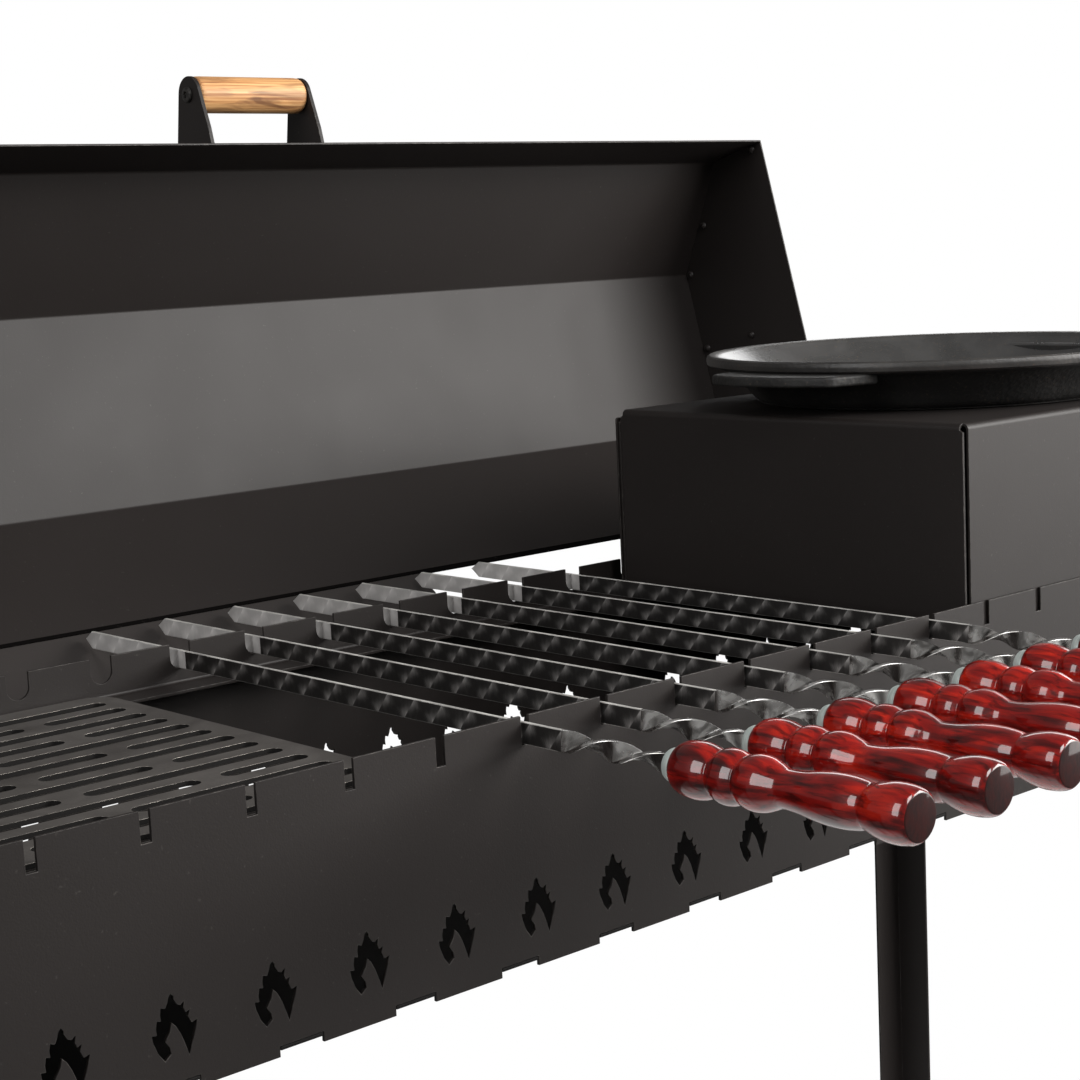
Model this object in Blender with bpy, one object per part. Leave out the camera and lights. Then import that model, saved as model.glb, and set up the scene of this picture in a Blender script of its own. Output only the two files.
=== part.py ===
"""Skewer charcoal grill with a hinged lid, a drop-in stove box, a pan and seven skewers.

Metres, +Z up. X runs along the grill, -Y is the cook's side. Everything is worked out
from the pitch of the skewer notches and a few sheet-metal sizes.
"""
from math import cos, pi, radians, sin, sqrt

import bmesh
import bpy
from mathutils import Vector

# ---- driving dimensions (metres, degrees) ------------------------------------------------
PITCH = 0.058               # from one skewer notch to the next
NOTCHES = 18
LENGTH = 1.100              # firebox, outside
DEPTH = 0.345
WALL_HEIGHT = 0.138
WALL_TOP = 0.850            # height of the front wall's top edge above the ground
SHEET = 0.002
LID_SHEET = 0.0015
GAP = 0.0003                # between pieces that touch

NOTCH_WIDTH = 0.0057
NOTCH_DEPTH = 0.0157
REST_NOTCH_RADIUS = 0.0076
REST_TOP = 0.0011
REAR_WALL_TOP = -0.020
VENT_BOTTOM = -0.1206
VENT_PITCH = 0.057
TAB_PITCH = 0.0714
TABS = 15
RECESS_WIDTH = 0.026
RECESS_HEIGHT = 0.0055

LEDGE_TOP = -0.025
LEDGE_WIDTH = 0.022
REST_FACE = 0.3352          # inner face of the rear skewer rest
GUARD_TOP = (0.465, -0.0095)    # Y and Z of the rear guard's upper edge, underside
GUARD_SLOPE = 0.65
GUARD_FLANGE = 0.022
GUARD_SQUARE_END = 0.021        # depth of the guard's right end before its corner is cut off

GRATE_WIDTH = 0.284
GRATE_SHEET = 0.003
SLOT_LENGTH = 0.122
SLOT_WIDTH = 0.0115
SLOT_BRIDGE = 0.014
SLOT_ROWS = 13
SLOT_ROW_PITCH = 0.0234
GRATE_MARGIN = 0.013
GRATE_CORNER = 0.018
LIFT_PLAY = 0.001           # around the pieces that lift out of the firebox

STOVE_LEFT = 0.1856
STOVE_BACK = 0.321
STOVE_TOP = 0.1177
STOVE_HOLE_RADIUS = 0.112

PAN_RADIUS = 0.1725
PAN_HEIGHT = 0.037
PAN_SHEET = 0.0045
EAR_BOTTOM = 0.0212         # of the pan's two ears, over its base
EAR_TOP = 0.0285

LID_WIDTH = 0.330
LID_SKIRT = 0.060
LID_SLOPE = 0.090
LID_HEIGHT = 0.127
LID_OPEN = 105.0
LID_FRONT_CLOSED = 0.003    # where the closed lid's front edge lies: Y, and Z over the wall
PIVOT = (0.375, -0.025)     # Y and Z of the lid's axis
EAR_RADIUS = 0.014
PIVOT_BOLT_RADIUS = 0.004
BOLT_PLAY = 0.0002          # between a bolt or rivet and its hole
BRACKET_SHEET = 0.003
RIVETS = ((0.310, -0.060), (0.332, -0.060))     # Y and Z of a hinge bracket's rivets
RIVET_RADIUS = 0.0024
STOP_START = 0.012          # where on the ear's edge the lid's stop begins and ends
STOP_END = 0.022

LEG_FLANGE = 0.032
LEG_INSET = 0.0175
GUSSET = 0.030
GUSSET_TIP = 0.006
FOOT_SIZE = 0.044
FOOT_HEIGHT = 0.008

FIRST_SKEWER = 5            # notch of the first skewer
SKEWERS = 7
BLADE_HEIGHT = 0.012
BLADE_SHEET = 0.0025
TIP_Y = 0.454
POINT_LENGTH = 0.009
FERRULE_Y = -0.1138
HANDLE_LENGTH = 0.146
TWIST_START = -0.027
TWIST_TURNS = -1.0          # negative: the lower edge comes forward on the left-hand side first
FERRULE_LENGTH = 0.006
TANG_HALF = 0.002
TANG_LENGTH = 0.055
BORE_RADIUS = 0.0032

GRIP_MIDDLE = 0.010         # the lid's handle sits a little right of the middle
GRIP_OUT = 0.0437           # from the lid's skirt to the grip's axis
GRIP_HIGH = 0.0205          # from the lid's mouth to the grip's axis
GRIP_HALF = 0.048
GRIP_RADIUS = 0.0135
GRIP_BORE = 0.0033
GRIP_BOLT_RADIUS = 0.003
GRIP_BOLT_LENGTH = 0.025    # inside the wood

# ---- worked out from them ----------------------------------------------------------------
HANDLE_END_Y = FERRULE_Y - HANDLE_LENGTH
WALL_BOTTOM = -WALL_HEIGHT
BLADE_BOTTOM = -NOTCH_DEPTH + GAP
BLADE_AXIS = BLADE_BOTTOM + BLADE_HEIGHT / 2
LID_END = LENGTH / 2 + 0.0023     # inner face of a lid end plate
LID_SECTION = ((0, 0), (0, LID_SKIRT), (LID_SLOPE, LID_HEIGHT),
               (LID_WIDTH - LID_SLOPE, LID_HEIGHT), (LID_WIDTH, LID_SKIRT))
OPEN_ANGLE = radians(LID_OPEN)


def notch_x(k):
    """X of notch number k, counted from the left."""
    return (k - (NOTCHES - 1) / 2) * PITCH


def opened(u, w):
    """Y and Z, with the lid open, of a point u behind its front edge and w above its mouth."""
    y = LID_FRONT_CLOSED + u - PIVOT[0]
    z = LID_FRONT_CLOSED + w - PIVOT[1]
    return (PIVOT[0] + y * cos(OPEN_ANGLE) + z * sin(OPEN_ANGLE),
            PIVOT[1] - y * sin(OPEN_ANGLE) + z * cos(OPEN_ANGLE))


def unit(a, b):
    """Unit vector from 2-D point a to b."""
    length = sqrt((b[0] - a[0]) ** 2 + (b[1] - a[1]) ** 2)
    return (b[0] - a[0]) / length, (b[1] - a[1]) / length


def offset_line(points, distance):
    """The open polyline moved to its left by distance, with mitred corners."""
    moved = []
    for i, point in enumerate(points):
        before = unit(points[max(i - 1, 0)], points[max(i, 1)])
        after = unit(points[min(i, len(points) - 2)], points[min(i + 1, len(points) - 1)])
        normal = (-(before[1] + after[1]) / 2, (before[0] + after[0]) / 2)
        scale = distance / (normal[0] ** 2 + normal[1] ** 2)
        moved.append((point[0] + normal[0] * scale, point[1] + normal[1] * scale))
    return moved


def sheet_outline(points, thickness):
    """Closed outline of a folded sheet whose one face follows points."""
    return list(points) + offset_line(points, thickness)[::-1]


LID_BACK_Y = max(opened(*p)[0] for p in offset_line(LID_SECTION, LID_SHEET))
CENTRE_Y = (HANDLE_END_Y + LID_BACK_Y) / 2


def clear_scene():
    for old in list(bpy.data.objects):
        bpy.data.objects.remove(old)


def make_material(name, colour, roughness, metallic):
    material = bpy.data.materials.new(name)
    material.use_nodes = True
    shader = material.node_tree.nodes["Principled BSDF"]
    shader.inputs["Base Color"].default_value = (*colour, 1.0)
    shader.inputs["Roughness"].default_value = roughness
    shader.inputs["Metallic"].default_value = metallic
    return material


def world(point):
    """From the firebox's own place (front face, top edge) to the model's frame."""
    return Vector((point[0], point[1] - CENTRE_Y, point[2] + WALL_TOP))


def add_object(name, bm, material, origin=(0, 0, 0), smooth=False):
    """Makes an object of a mesh given in firebox coordinates, with its origin at origin."""
    bmesh.ops.remove_doubles(bm, verts=bm.verts, dist=1e-6)
    bmesh.ops.recalc_face_normals(bm, faces=bm.faces)
    bmesh.ops.translate(bm, verts=bm.verts, vec=-Vector(origin))
    mesh = bpy.data.meshes.new(name)
    bm.to_mesh(mesh)
    bm.free()
    if smooth:
        mesh.shade_smooth()
        mesh.set_sharp_from_angle(angle=radians(40))
    thing = bpy.data.objects.new(name, mesh)
    thing.location = world(origin)
    thing.data.materials.append(material)
    bpy.context.scene.collection.objects.link(thing)
    return thing


def in_space(axis, u, v, along):
    """A 2-D outline point and its place along the extrusion axis, as X, Y, Z."""
    if axis == "X":
        return along, u, v
    if axis == "Y":
        return u, along, v
    return u, v, along


def prism_mesh(outline, holes, axis, start, end):
    """Closed solid: an outline with holes, extruded along an axis from start to end."""
    bm = bmesh.new()
    edges = []
    for loop in (outline, *holes):
        verts = [bm.verts.new(in_space(axis, u, v, start)) for u, v in loop]
        for a, b in zip(verts, verts[1:] + verts[:1]):
            edges.append(bm.edges.new((a, b)))
    bmesh.ops.triangle_fill(bm, use_beauty=True, use_dissolve=False, edges=edges)
    sides = bmesh.ops.extrude_face_region(bm, geom=bm.faces[:])["geom"]
    moved = [item for item in sides if isinstance(item, bmesh.types.BMVert)]
    shift = Vector(in_space(axis, 0, 0, end - start))
    bmesh.ops.translate(bm, verts=moved, vec=shift)
    return bm


def prism(name, outline, axis, start, end, material, holes=(), origin=(0, 0, 0)):
    bm = prism_mesh(outline, holes, axis, start, end)
    return add_object(name, bm, material, origin)


def combine(body, bm, operation, material):
    """Joins a hidden piece to body, or cuts it out of body, with an exact Boolean."""
    number = len(body.modifiers) + 1
    piece = add_object(f"{body.name}_{operation.lower()}_{number}", bm, material)
    piece.hide_render = True
    piece.display_type = "WIRE"
    modifier = body.modifiers.new(f"{operation.lower()}_{number}", "BOOLEAN")
    modifier.operation = operation
    modifier.solver = "EXACT"
    modifier.object = piece


def rectangle(u0, v0, u1, v1):
    return [(u0, v0), (u1, v0), (u1, v1), (u0, v1)]


def arc(centre, radius, first, last, steps):
    """Points on an arc between two angles in degrees, ends included."""
    angles = [radians(first + (last - first) * i / steps) for i in range(steps + 1)]
    return [(centre[0] + radius * cos(a), centre[1] + radius * sin(a)) for a in angles]


def rounded_rectangle(u0, v0, u1, v1, radius, steps):
    points = arc((u1 - radius, v1 - radius), radius, 0, 90, steps)
    points += arc((u0 + radius, v1 - radius), radius, 90, 180, steps)
    points += arc((u0 + radius, v0 + radius), radius, 180, 270, steps)
    points += arc((u1 - radius, v0 + radius), radius, 270, 360, steps)
    return points


def turned_mesh(profile, segments, place):
    """A closed ring or solid turned from (radius, along) points; place maps x, y, along."""
    bm = bmesh.new()
    rings = []
    for radius, along in profile:
        if radius < 1e-6:
            rings.append([bm.verts.new(place(0, 0, along))])
            continue
        ring = []
        for i in range(segments):
            a = 2 * pi * i / segments
            ring.append(bm.verts.new(place(radius * cos(a), radius * sin(a), along)))
        rings.append(ring)
    closed = profile[0][0] > 1e-6 and profile[-1][0] > 1e-6
    pairs = list(zip(rings, rings[1:])) + ([(rings[-1], rings[0])] if closed else [])
    for low, high in pairs:
        for i in range(segments):
            j = (i + 1) % segments
            corners = [low[i % len(low)], low[j % len(low)], high[j % len(high)], high[i % len(high)]]
            bm.faces.new(list(dict.fromkeys(corners)))
    return bm


# ---- firebox -----------------------------------------------------------------------------
def flame(x):
    """Outline of one flame-shaped vent, with a tongue of metal rising inside it."""
    shape = ((-7, 0), (-11, 7), (-10, 16), (-6, 20), (-4, 27), (0, 32), (3, 26), (7, 21),
             (10, 15), (11, 6), (8, 0), (5, 7), (3, 14), (0, 18), (-4, 12), (-4, 4))
    return [(x + u / 1000, VENT_BOTTOM + v / 1000) for u, v in shape]


def vents():
    return [flame((k - (NOTCHES - 1) / 2) * VENT_PITCH) for k in range(NOTCHES)]


def wall_bottom_edge():
    """The long walls' lower edge, left to right, with a recess for each floor tab."""
    points = [(-LENGTH / 2, WALL_BOTTOM)]
    for i in range(TABS):
        x = (i - (TABS - 1) / 2) * TAB_PITCH
        low = x - RECESS_WIDTH / 2
        high = x + RECESS_WIDTH / 2
        recess_top = WALL_BOTTOM + RECESS_HEIGHT
        points += [(low, WALL_BOTTOM), (low, recess_top), (high, recess_top), (high, WALL_BOTTOM)]
    return points + [(LENGTH / 2, WALL_BOTTOM)]


def make_front_wall(steel):
    outline = wall_bottom_edge() + [(LENGTH / 2, 0)]
    for k in reversed(range(NOTCHES)):
        x = notch_x(k)
        outline += [(x + NOTCH_WIDTH / 2, 0), (x + NOTCH_WIDTH / 2, -NOTCH_DEPTH),
                    (x - NOTCH_WIDTH / 2, -NOTCH_DEPTH), (x - NOTCH_WIDTH / 2, 0)]
    outline.append((-LENGTH / 2, 0))
    prism("front_wall", outline, "Y", 0, SHEET, steel, vents())


def make_rear_wall(steel):
    outline = wall_bottom_edge() + [(LENGTH / 2, REAR_WALL_TOP), (-LENGTH / 2, REAR_WALL_TOP)]
    prism("rear_wall", outline, "Y", DEPTH - SHEET, DEPTH, steel, vents())


def rivet_holes():
    return [arc(rivet, RIVET_RADIUS + BOLT_PLAY, 0, 360, 10)[:-1] for rivet in RIVETS]


def make_end_walls(steel):
    low = SHEET + GAP
    high = DEPTH - SHEET - GAP
    bottom = WALL_BOTTOM + RECESS_HEIGHT + GAP
    outline = rectangle(low, bottom, high, 0)
    for name, side in (("left_end_wall", -1), ("right_end_wall", 1)):
        outer = side * LENGTH / 2
        prism(name, outline, "X", outer - side * SHEET, outer, steel, rivet_holes())


def make_floor(steel):
    """Floor plate whose tabs reach out through the recesses of both long walls."""
    inner_low = SHEET + GAP
    inner_high = DEPTH - SHEET - GAP
    half_tab = RECESS_WIDTH / 2 - GAP
    centres = [(i - (TABS - 1) / 2) * TAB_PITCH for i in range(TABS)]
    outline = [(-LENGTH / 2, inner_low)]
    for x in centres:
        outline += [(x - half_tab, inner_low), (x - half_tab, 0), (x + half_tab, 0),
                    (x + half_tab, inner_low)]
    outline += [(LENGTH / 2, inner_low), (LENGTH / 2, inner_high)]
    for x in reversed(centres):
        outline += [(x + half_tab, inner_high), (x + half_tab, DEPTH), (x - half_tab, DEPTH),
                    (x - half_tab, inner_high)]
    outline.append((-LENGTH / 2, inner_high))
    bottom = WALL_BOTTOM + RECESS_HEIGHT - GAP - SHEET
    prism("floor_plate", outline, "Z", bottom, bottom + SHEET, steel)


def make_ledges(steel):
    """Front ledge for the grate and the stove box, and the notched skewer rest at the back."""
    half = LENGTH / 2 - SHEET - GAP
    front = [(SHEET + GAP, LEDGE_TOP - 0.018), (SHEET + GAP, LEDGE_TOP),
             (SHEET + GAP + LEDGE_WIDTH, LEDGE_TOP)]
    prism("front_ledge", sheet_outline(front, -SHEET), "X", -half, half, steel)

    outline = [(-half, LEDGE_TOP - SHEET), (half, LEDGE_TOP - SHEET), (half, REST_TOP)]
    notch_bottom = -NOTCH_DEPTH + REST_NOTCH_RADIUS
    for k in reversed(range(NOTCHES)):
        x = notch_x(k)
        outline.append((x + REST_NOTCH_RADIUS, REST_TOP))
        outline += arc((x, notch_bottom), REST_NOTCH_RADIUS, 0, -180, 8)
        outline.append((x - REST_NOTCH_RADIUS, REST_TOP))
    outline.append((-half, REST_TOP))
    rest = prism("rear_skewer_rest", outline, "Y", REST_FACE, REST_FACE + SHEET, steel)
    ledge = rectangle(REST_FACE - LEDGE_WIDTH, LEDGE_TOP - SHEET, REST_FACE + SHEET / 2, LEDGE_TOP)
    combine(rest, prism_mesh(ledge, (), "X", -half, half), "UNION", steel)


def make_rear_guard(steel):
    """Slanted plate behind the rear wall, under the skewers' tips, with a flange welded to the wall."""
    left = -LENGTH / 2 + 0.005
    right = notch_x(10.2)
    foot_y = DEPTH + GAP
    foot_z = GUARD_TOP[1] - GUARD_SLOPE * (GUARD_TOP[0] - foot_y)
    section = [(foot_y, foot_z + GUARD_FLANGE), (foot_y, foot_z), GUARD_TOP]
    guard = prism("rear_guard", sheet_outline(section, SHEET), "X", left, right, steel)
    knee = GUARD_TOP[0] - GUARD_SQUARE_END
    reach = knee - foot_y + 0.01
    corner = [(right + 0.01, knee + 0.01), (right + 0.01, knee - reach), (right - reach, knee - reach)]
    combine(guard, prism_mesh(corner, (), "Z", foot_z - 0.05, foot_z + 0.2), "DIFFERENCE", steel)


# ---- grate, stove box, pan ---------------------------------------------------------------
def make_grate(steel):
    left = -LENGTH / 2 + SHEET + LIFT_PLAY
    right = left + GRATE_WIDTH
    front = SHEET + LIFT_PLAY
    back = REST_FACE - 3 * LIFT_PLAY
    radius = SLOT_WIDTH / 2
    first_row = (front + back) / 2 - (SLOT_ROWS - 1) / 2 * SLOT_ROW_PITCH
    slots = []
    for row in range(SLOT_ROWS):
        y = first_row + row * SLOT_ROW_PITCH
        start = left + GRATE_MARGIN - (row % 2) * (SLOT_LENGTH + SLOT_BRIDGE) / 2
        while start < right - GRATE_MARGIN:
            low = max(start, left + GRATE_MARGIN)
            high = min(start + SLOT_LENGTH, right - GRATE_MARGIN)
            if high - low > 2 * SLOT_WIDTH:
                left_end = arc((low + radius, y), radius, 90, 270, 3)
                slots.append(left_end + arc((high - radius, y), radius, -90, 90, 3))
            start += SLOT_LENGTH + SLOT_BRIDGE
    outline = rounded_rectangle(left, front, right, back, GRATE_CORNER, 4)
    bottom = LEDGE_TOP + GAP
    prism("grate", outline, "Z", bottom, bottom + GRATE_SHEET, steel, slots,
          origin=((left + right) / 2, (front + back) / 2, bottom))


def stove_box():
    """Outer box of the stove shell: low and high corners."""
    right = LENGTH / 2 - SHEET - LIFT_PLAY
    return (STOVE_LEFT, SHEET + GAP, LEDGE_TOP + GAP), (right, STOVE_BACK, STOVE_TOP)


def make_stove(steel):
    """Five-sided sheet box, open below, with a round fire hole in its top."""
    low, high = stove_box()
    centre = pan_centre()
    shell = prism("stove_shell", rectangle(low[0], low[1], high[0], high[1]), "Z", low[2], high[2], steel,
                  origin=(centre[0], centre[1], low[2]))
    inner = rectangle(low[0] + SHEET, low[1] + SHEET, high[0] - SHEET, high[1] - SHEET)
    combine(shell, prism_mesh(inner, (), "Z", low[2] - 0.01, high[2] - SHEET), "DIFFERENCE", steel)
    hole = arc(centre, STOVE_HOLE_RADIUS, 0, 360, 32)[:-1]
    combine(shell, prism_mesh(hole, (), "Z", high[2] - 0.01, high[2] + 0.01), "DIFFERENCE", steel)


def pan_centre():
    low, high = stove_box()
    return (low[0] + high[0]) / 2, (low[1] + high[1]) / 2


def make_pan(iron):
    """Turned pan with a thick lip, resting on the stove's top, and its two flat ears."""
    base = STOVE_TOP + GAP
    x, y = pan_centre()
    profile = [(0, 0), (0.128, 0), (0.136, 0.003), (0.158, 0.027), (0.1695, 0.028), (PAN_RADIUS, 0.0305),
               (PAN_RADIUS, PAN_HEIGHT - 0.002), (PAN_RADIUS - 0.002, PAN_HEIGHT), (0.165, PAN_HEIGHT),
               (0.160, 0.034), (0.133, 0.0065), (0.124, PAN_SHEET), (0, PAN_SHEET)]
    bm = turned_mesh(profile, 40, lambda u, v, z: (x + u, y + v, base + z))
    body = add_object("pan", bm, iron, origin=(x, y, base))
    for side in (-1, 1):
        ear = [(side * u, v) for u, v in ((0.150, -0.062), (0.183, -0.057), (0.196, -0.038), (0.200, 0),
                                          (0.196, 0.038), (0.183, 0.057), (0.150, 0.062), (0.150, 0))]
        outline = [(x + u, y + v) for u, v in ear]
        ear_mesh = prism_mesh(outline, (), "Z", base + EAR_BOTTOM, base + EAR_TOP)
        combine(body, ear_mesh, "UNION", iron)


# ---- skewers -----------------------------------------------------------------------------
def make_blade(number, x, steel):
    """Flat blade on edge with a symmetric point, a twisted shank and a square tang."""
    half_h = BLADE_HEIGHT / 2
    half_t = BLADE_SHEET / 2
    sections = [(TIP_Y - POINT_LENGTH, half_t, half_h, 0.0), (TWIST_START, half_t, half_h, 0.0)]
    twist_end = FERRULE_Y + FERRULE_LENGTH + 0.012
    steps = int(abs(TWIST_TURNS) * 8)
    for i in range(1, steps + 1):
        y = TWIST_START + (twist_end - TWIST_START) * i / steps
        sections.append((y, half_t, half_h, 2 * pi * TWIST_TURNS * i / steps))
    full = 2 * pi * TWIST_TURNS
    sections.append((FERRULE_Y + FERRULE_LENGTH + 0.001, TANG_HALF, TANG_HALF, full))
    sections.append((FERRULE_Y - TANG_LENGTH, TANG_HALF, TANG_HALF, full))
    bm = bmesh.new()
    tip = [bm.verts.new((x + s * half_t * 0.4, TIP_Y, BLADE_AXIS)) for s in (-1, 1)]
    rings = []
    for y, a, b, angle in sections:
        ring = []
        for u, v in ((-a, -b), (a, -b), (a, b), (-a, b)):
            ring.append(bm.verts.new((x + u * cos(angle) - v * sin(angle), y,
                                      BLADE_AXIS + u * sin(angle) + v * cos(angle))))
        rings.append(ring)
    first = rings[0]
    bm.faces.new((tip[0], tip[1], first[1], first[0]))
    bm.faces.new((tip[1], tip[0], first[3], first[2]))
    bm.faces.new((tip[1], first[2], first[1]))
    bm.faces.new((tip[0], first[0], first[3]))
    for low, high in zip(rings, rings[1:]):
        for i in range(4):
            j = (i + 1) % 4
            bm.faces.new((low[i], low[j], high[j], high[i]))
    bm.faces.new(rings[-1])
    bmesh.ops.triangulate(bm, faces=bm.faces)
    add_object(f"skewer_{number}_blade", bm, steel, origin=(x, 0, BLADE_AXIS))


def handle_profile():
    """Radius and distance from the ferrule of a turned handle, outside only."""
    return [(0.0086, 0), (0.0134, 0.005), (0.0144, 0.014), (0.0114, 0.0263), (0.0139, 0.035),
            (0.0117, 0.0435), (0.0138, 0.053), (0.0096, 0.070), (0.0127, 0.099), (0.0108, 0.118),
            (0.0141, 0.132), (0.0130, 0.140), (0.0112, HANDLE_LENGTH)]


def make_skewer(number, steel, pale, wood):
    x = notch_x(FIRST_SKEWER + number - 1)
    make_blade(number, x, steel)

    def along_y(u, v, distance):
        return x + u, FERRULE_Y - distance, BLADE_AXIS + v

    front = -FERRULE_LENGTH
    ring = [(BORE_RADIUS, front), (0.0070, front), (0.0085, front + 0.002), (0.0085, -GAP),
            (BORE_RADIUS, -GAP)]
    bm = turned_mesh(ring, 12, along_y)
    add_object(f"skewer_{number}_ferrule", bm, pale, origin=(x, FERRULE_Y, BLADE_AXIS), smooth=True)
    bore_end = TANG_LENGTH + 0.003
    bore = [(0, bore_end), (BORE_RADIUS, bore_end), (BORE_RADIUS, 0)]
    bm = turned_mesh(bore + handle_profile() + [(0, HANDLE_LENGTH)], 12, along_y)
    add_object(f"skewer_{number}_handle", bm, wood, origin=(x, FERRULE_Y, BLADE_AXIS), smooth=True)


# ---- legs --------------------------------------------------------------------------------
def make_legs(steel, plastic):
    """Four folded angles with their corner outward, a gusset at the top, and a flat foot under each."""
    floor_under = WALL_BOTTOM + RECESS_HEIGHT - GAP - SHEET
    top = floor_under - GAP
    ground = -WALL_TOP
    places = (("front_left", -1, -1), ("front_right", 1, -1), ("rear_left", -1, 1), ("rear_right", 1, 1))
    for name, sx, sy in places:
        x = sx * (LENGTH / 2 - LEG_INSET)
        y = DEPTH / 2 + sy * (DEPTH / 2 - SHEET - 0.001)
        inner_x = x - sx * LEG_FLANGE
        inner_y = y - sy * LEG_FLANGE
        outline = [(x, y), (inner_x, y), (inner_x, y - sy * SHEET), (x - sx * SHEET, y - sy * SHEET),
                   (x - sx * SHEET, inner_y), (x, inner_y)]
        leg = prism(f"leg_{name}", outline, "Z", ground + FOOT_HEIGHT + GAP, top, steel)
        overlap = inner_x + sx * GUSSET / 3
        gusset = [(overlap, top - GUSSET), (overlap, top - GAP), (inner_x - sx * GUSSET, top - GAP),
                  (inner_x - sx * GUSSET, top - GUSSET_TIP), (inner_x, top - GUSSET)]
        low = y - sy * SHEET * 0.8
        high = y - sy * SHEET * 0.2
        combine(leg, prism_mesh(gusset, (), "Y", low, high), "UNION", steel)
        centre_x = (x + inner_x) / 2
        centre_y = (y + inner_y) / 2
        half = FOOT_SIZE / 2
        foot = rounded_rectangle(centre_x - half, centre_y - half, centre_x + half, centre_y + half,
                                 0.006, 2)
        prism(f"foot_{name}", foot, "Z", ground, ground + FOOT_HEIGHT, plastic)


# ---- lid ---------------------------------------------------------------------------------
def make_lid(steel):
    """Folded shell and two end plates with pivot ears."""
    pivot = (0, *PIVOT)
    shell = [opened(*p) for p in sheet_outline(LID_SECTION, LID_SHEET)]
    prism("lid_shell", shell, "X", GAP - LID_END, LID_END - GAP, steel, origin=pivot)

    ear_u = PIVOT[0] - LID_FRONT_CLOSED
    ear_w = PIVOT[1] - LID_FRONT_CLOSED
    outer = offset_line(LID_SECTION, LID_SHEET)
    plate = [(outer[0][0], 0)] + outer[1:]
    plate += arc((ear_u, ear_w), EAR_RADIUS, 35, -150, 8)
    plate.append((LID_WIDTH - 0.025, 0))
    bore = arc((ear_u, ear_w), PIVOT_BOLT_RADIUS + BOLT_PLAY, 0, 360, 16)[:-1]
    for name, side in (("lid_end_left", -1), ("lid_end_right", 1)):
        prism(name, [opened(*p) for p in plate], "X", side * LID_END, side * (LID_END + LID_SHEET), steel,
              holes=[[opened(*p) for p in bore]], origin=pivot)


def lid_stop():
    """Outline of the small tab that the open lid's ears rest on, seen from the side."""
    ear = (PIVOT[0] - LID_FRONT_CLOSED, PIVOT[1] - LID_FRONT_CLOSED)
    low = arc(ear, EAR_RADIUS, 35, 35, 1)[0]
    along = unit(low, offset_line(LID_SECTION, LID_SHEET)[-1])
    corners = ((STOP_START, GAP), (STOP_END, GAP), (STOP_END, GAP + SHEET), (STOP_START, GAP + SHEET))
    return [opened(low[0] + along[0] * s + along[1] * out, low[1] + along[1] * s - along[0] * out)
            for s, out in corners]


def make_hinges(steel, bolt):
    """What carries the lid's axis at each end: a spacer, a bracket with the lid's stop, and a bolt."""
    pivot = (0, *PIVOT)
    clear = LID_END + LID_SHEET + GAP
    bracket = [(0.300, -0.075), (0.300, -0.045), (0.350, -0.016)] + arc(PIVOT, 0.012, 110, -10, 5)
    bracket += [(0.404, -0.029), (0.404, -0.039), (0.366, -0.055), (0.350, -0.075)]
    hole = arc(PIVOT, PIVOT_BOLT_RADIUS + BOLT_PLAY, 0, 360, 16)[:-1]
    for name, side in (("left", -1), ("right", 1)):
        wall = side * (LENGTH / 2 + GAP)
        spacer = rectangle(0.302, -0.073, 0.340, -0.047)
        prism(f"hinge_spacer_{name}", spacer, "X", wall, side * (clear - GAP), steel, rivet_holes())
        outer = clear + BRACKET_SHEET
        plate = prism(f"hinge_bracket_{name}", bracket, "X", side * clear, side * outer, steel,
                      [hole, *rivet_holes()])
        tab = prism_mesh(lid_stop(), (), "X", side * (LID_END + GAP), side * (clear + BRACKET_SHEET / 2))
        combine(plate, tab, "UNION", steel)
        for number, (y, z) in enumerate(RIVETS, 1):
            inner_face = LENGTH / 2 - SHEET - GAP
            outer_face = outer + GAP
            profile = [(0, inner_face - 0.0012), (0.0038, inner_face - 0.0012), (0.0038, inner_face),
                       (RIVET_RADIUS, inner_face), (RIVET_RADIUS, outer_face), (0.0046, outer_face),
                       (0.0036, outer_face + 0.0018), (0, outer_face + 0.0024)]
            bm = turned_mesh([(r, side * x) for r, x in profile], 10, lambda u, v, x: (x, y + u, z + v))
            add_object(f"bracket_rivet_{name}_{number}", bm, bolt, origin=(wall, y, z), smooth=True)
        head = side * (outer + GAP)
        inner_end = side * (LID_END - 0.006)
        profile = [(0, inner_end), (0.0062, inner_end), (0.0062, side * (LID_END - GAP)),
                   (PIVOT_BOLT_RADIUS, side * (LID_END - GAP)), (PIVOT_BOLT_RADIUS, head), (0.0068, head),
                   (0.0068, head + side * 0.004), (0.0045, head + side * 0.0055), (0, head + side * 0.0055)]
        bm = turned_mesh(profile, 16, lambda u, v, x: (x, PIVOT[0] + u, PIVOT[1] + v))
        add_object(f"pivot_bolt_{name}", bm, bolt, origin=pivot, smooth=True)


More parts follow.
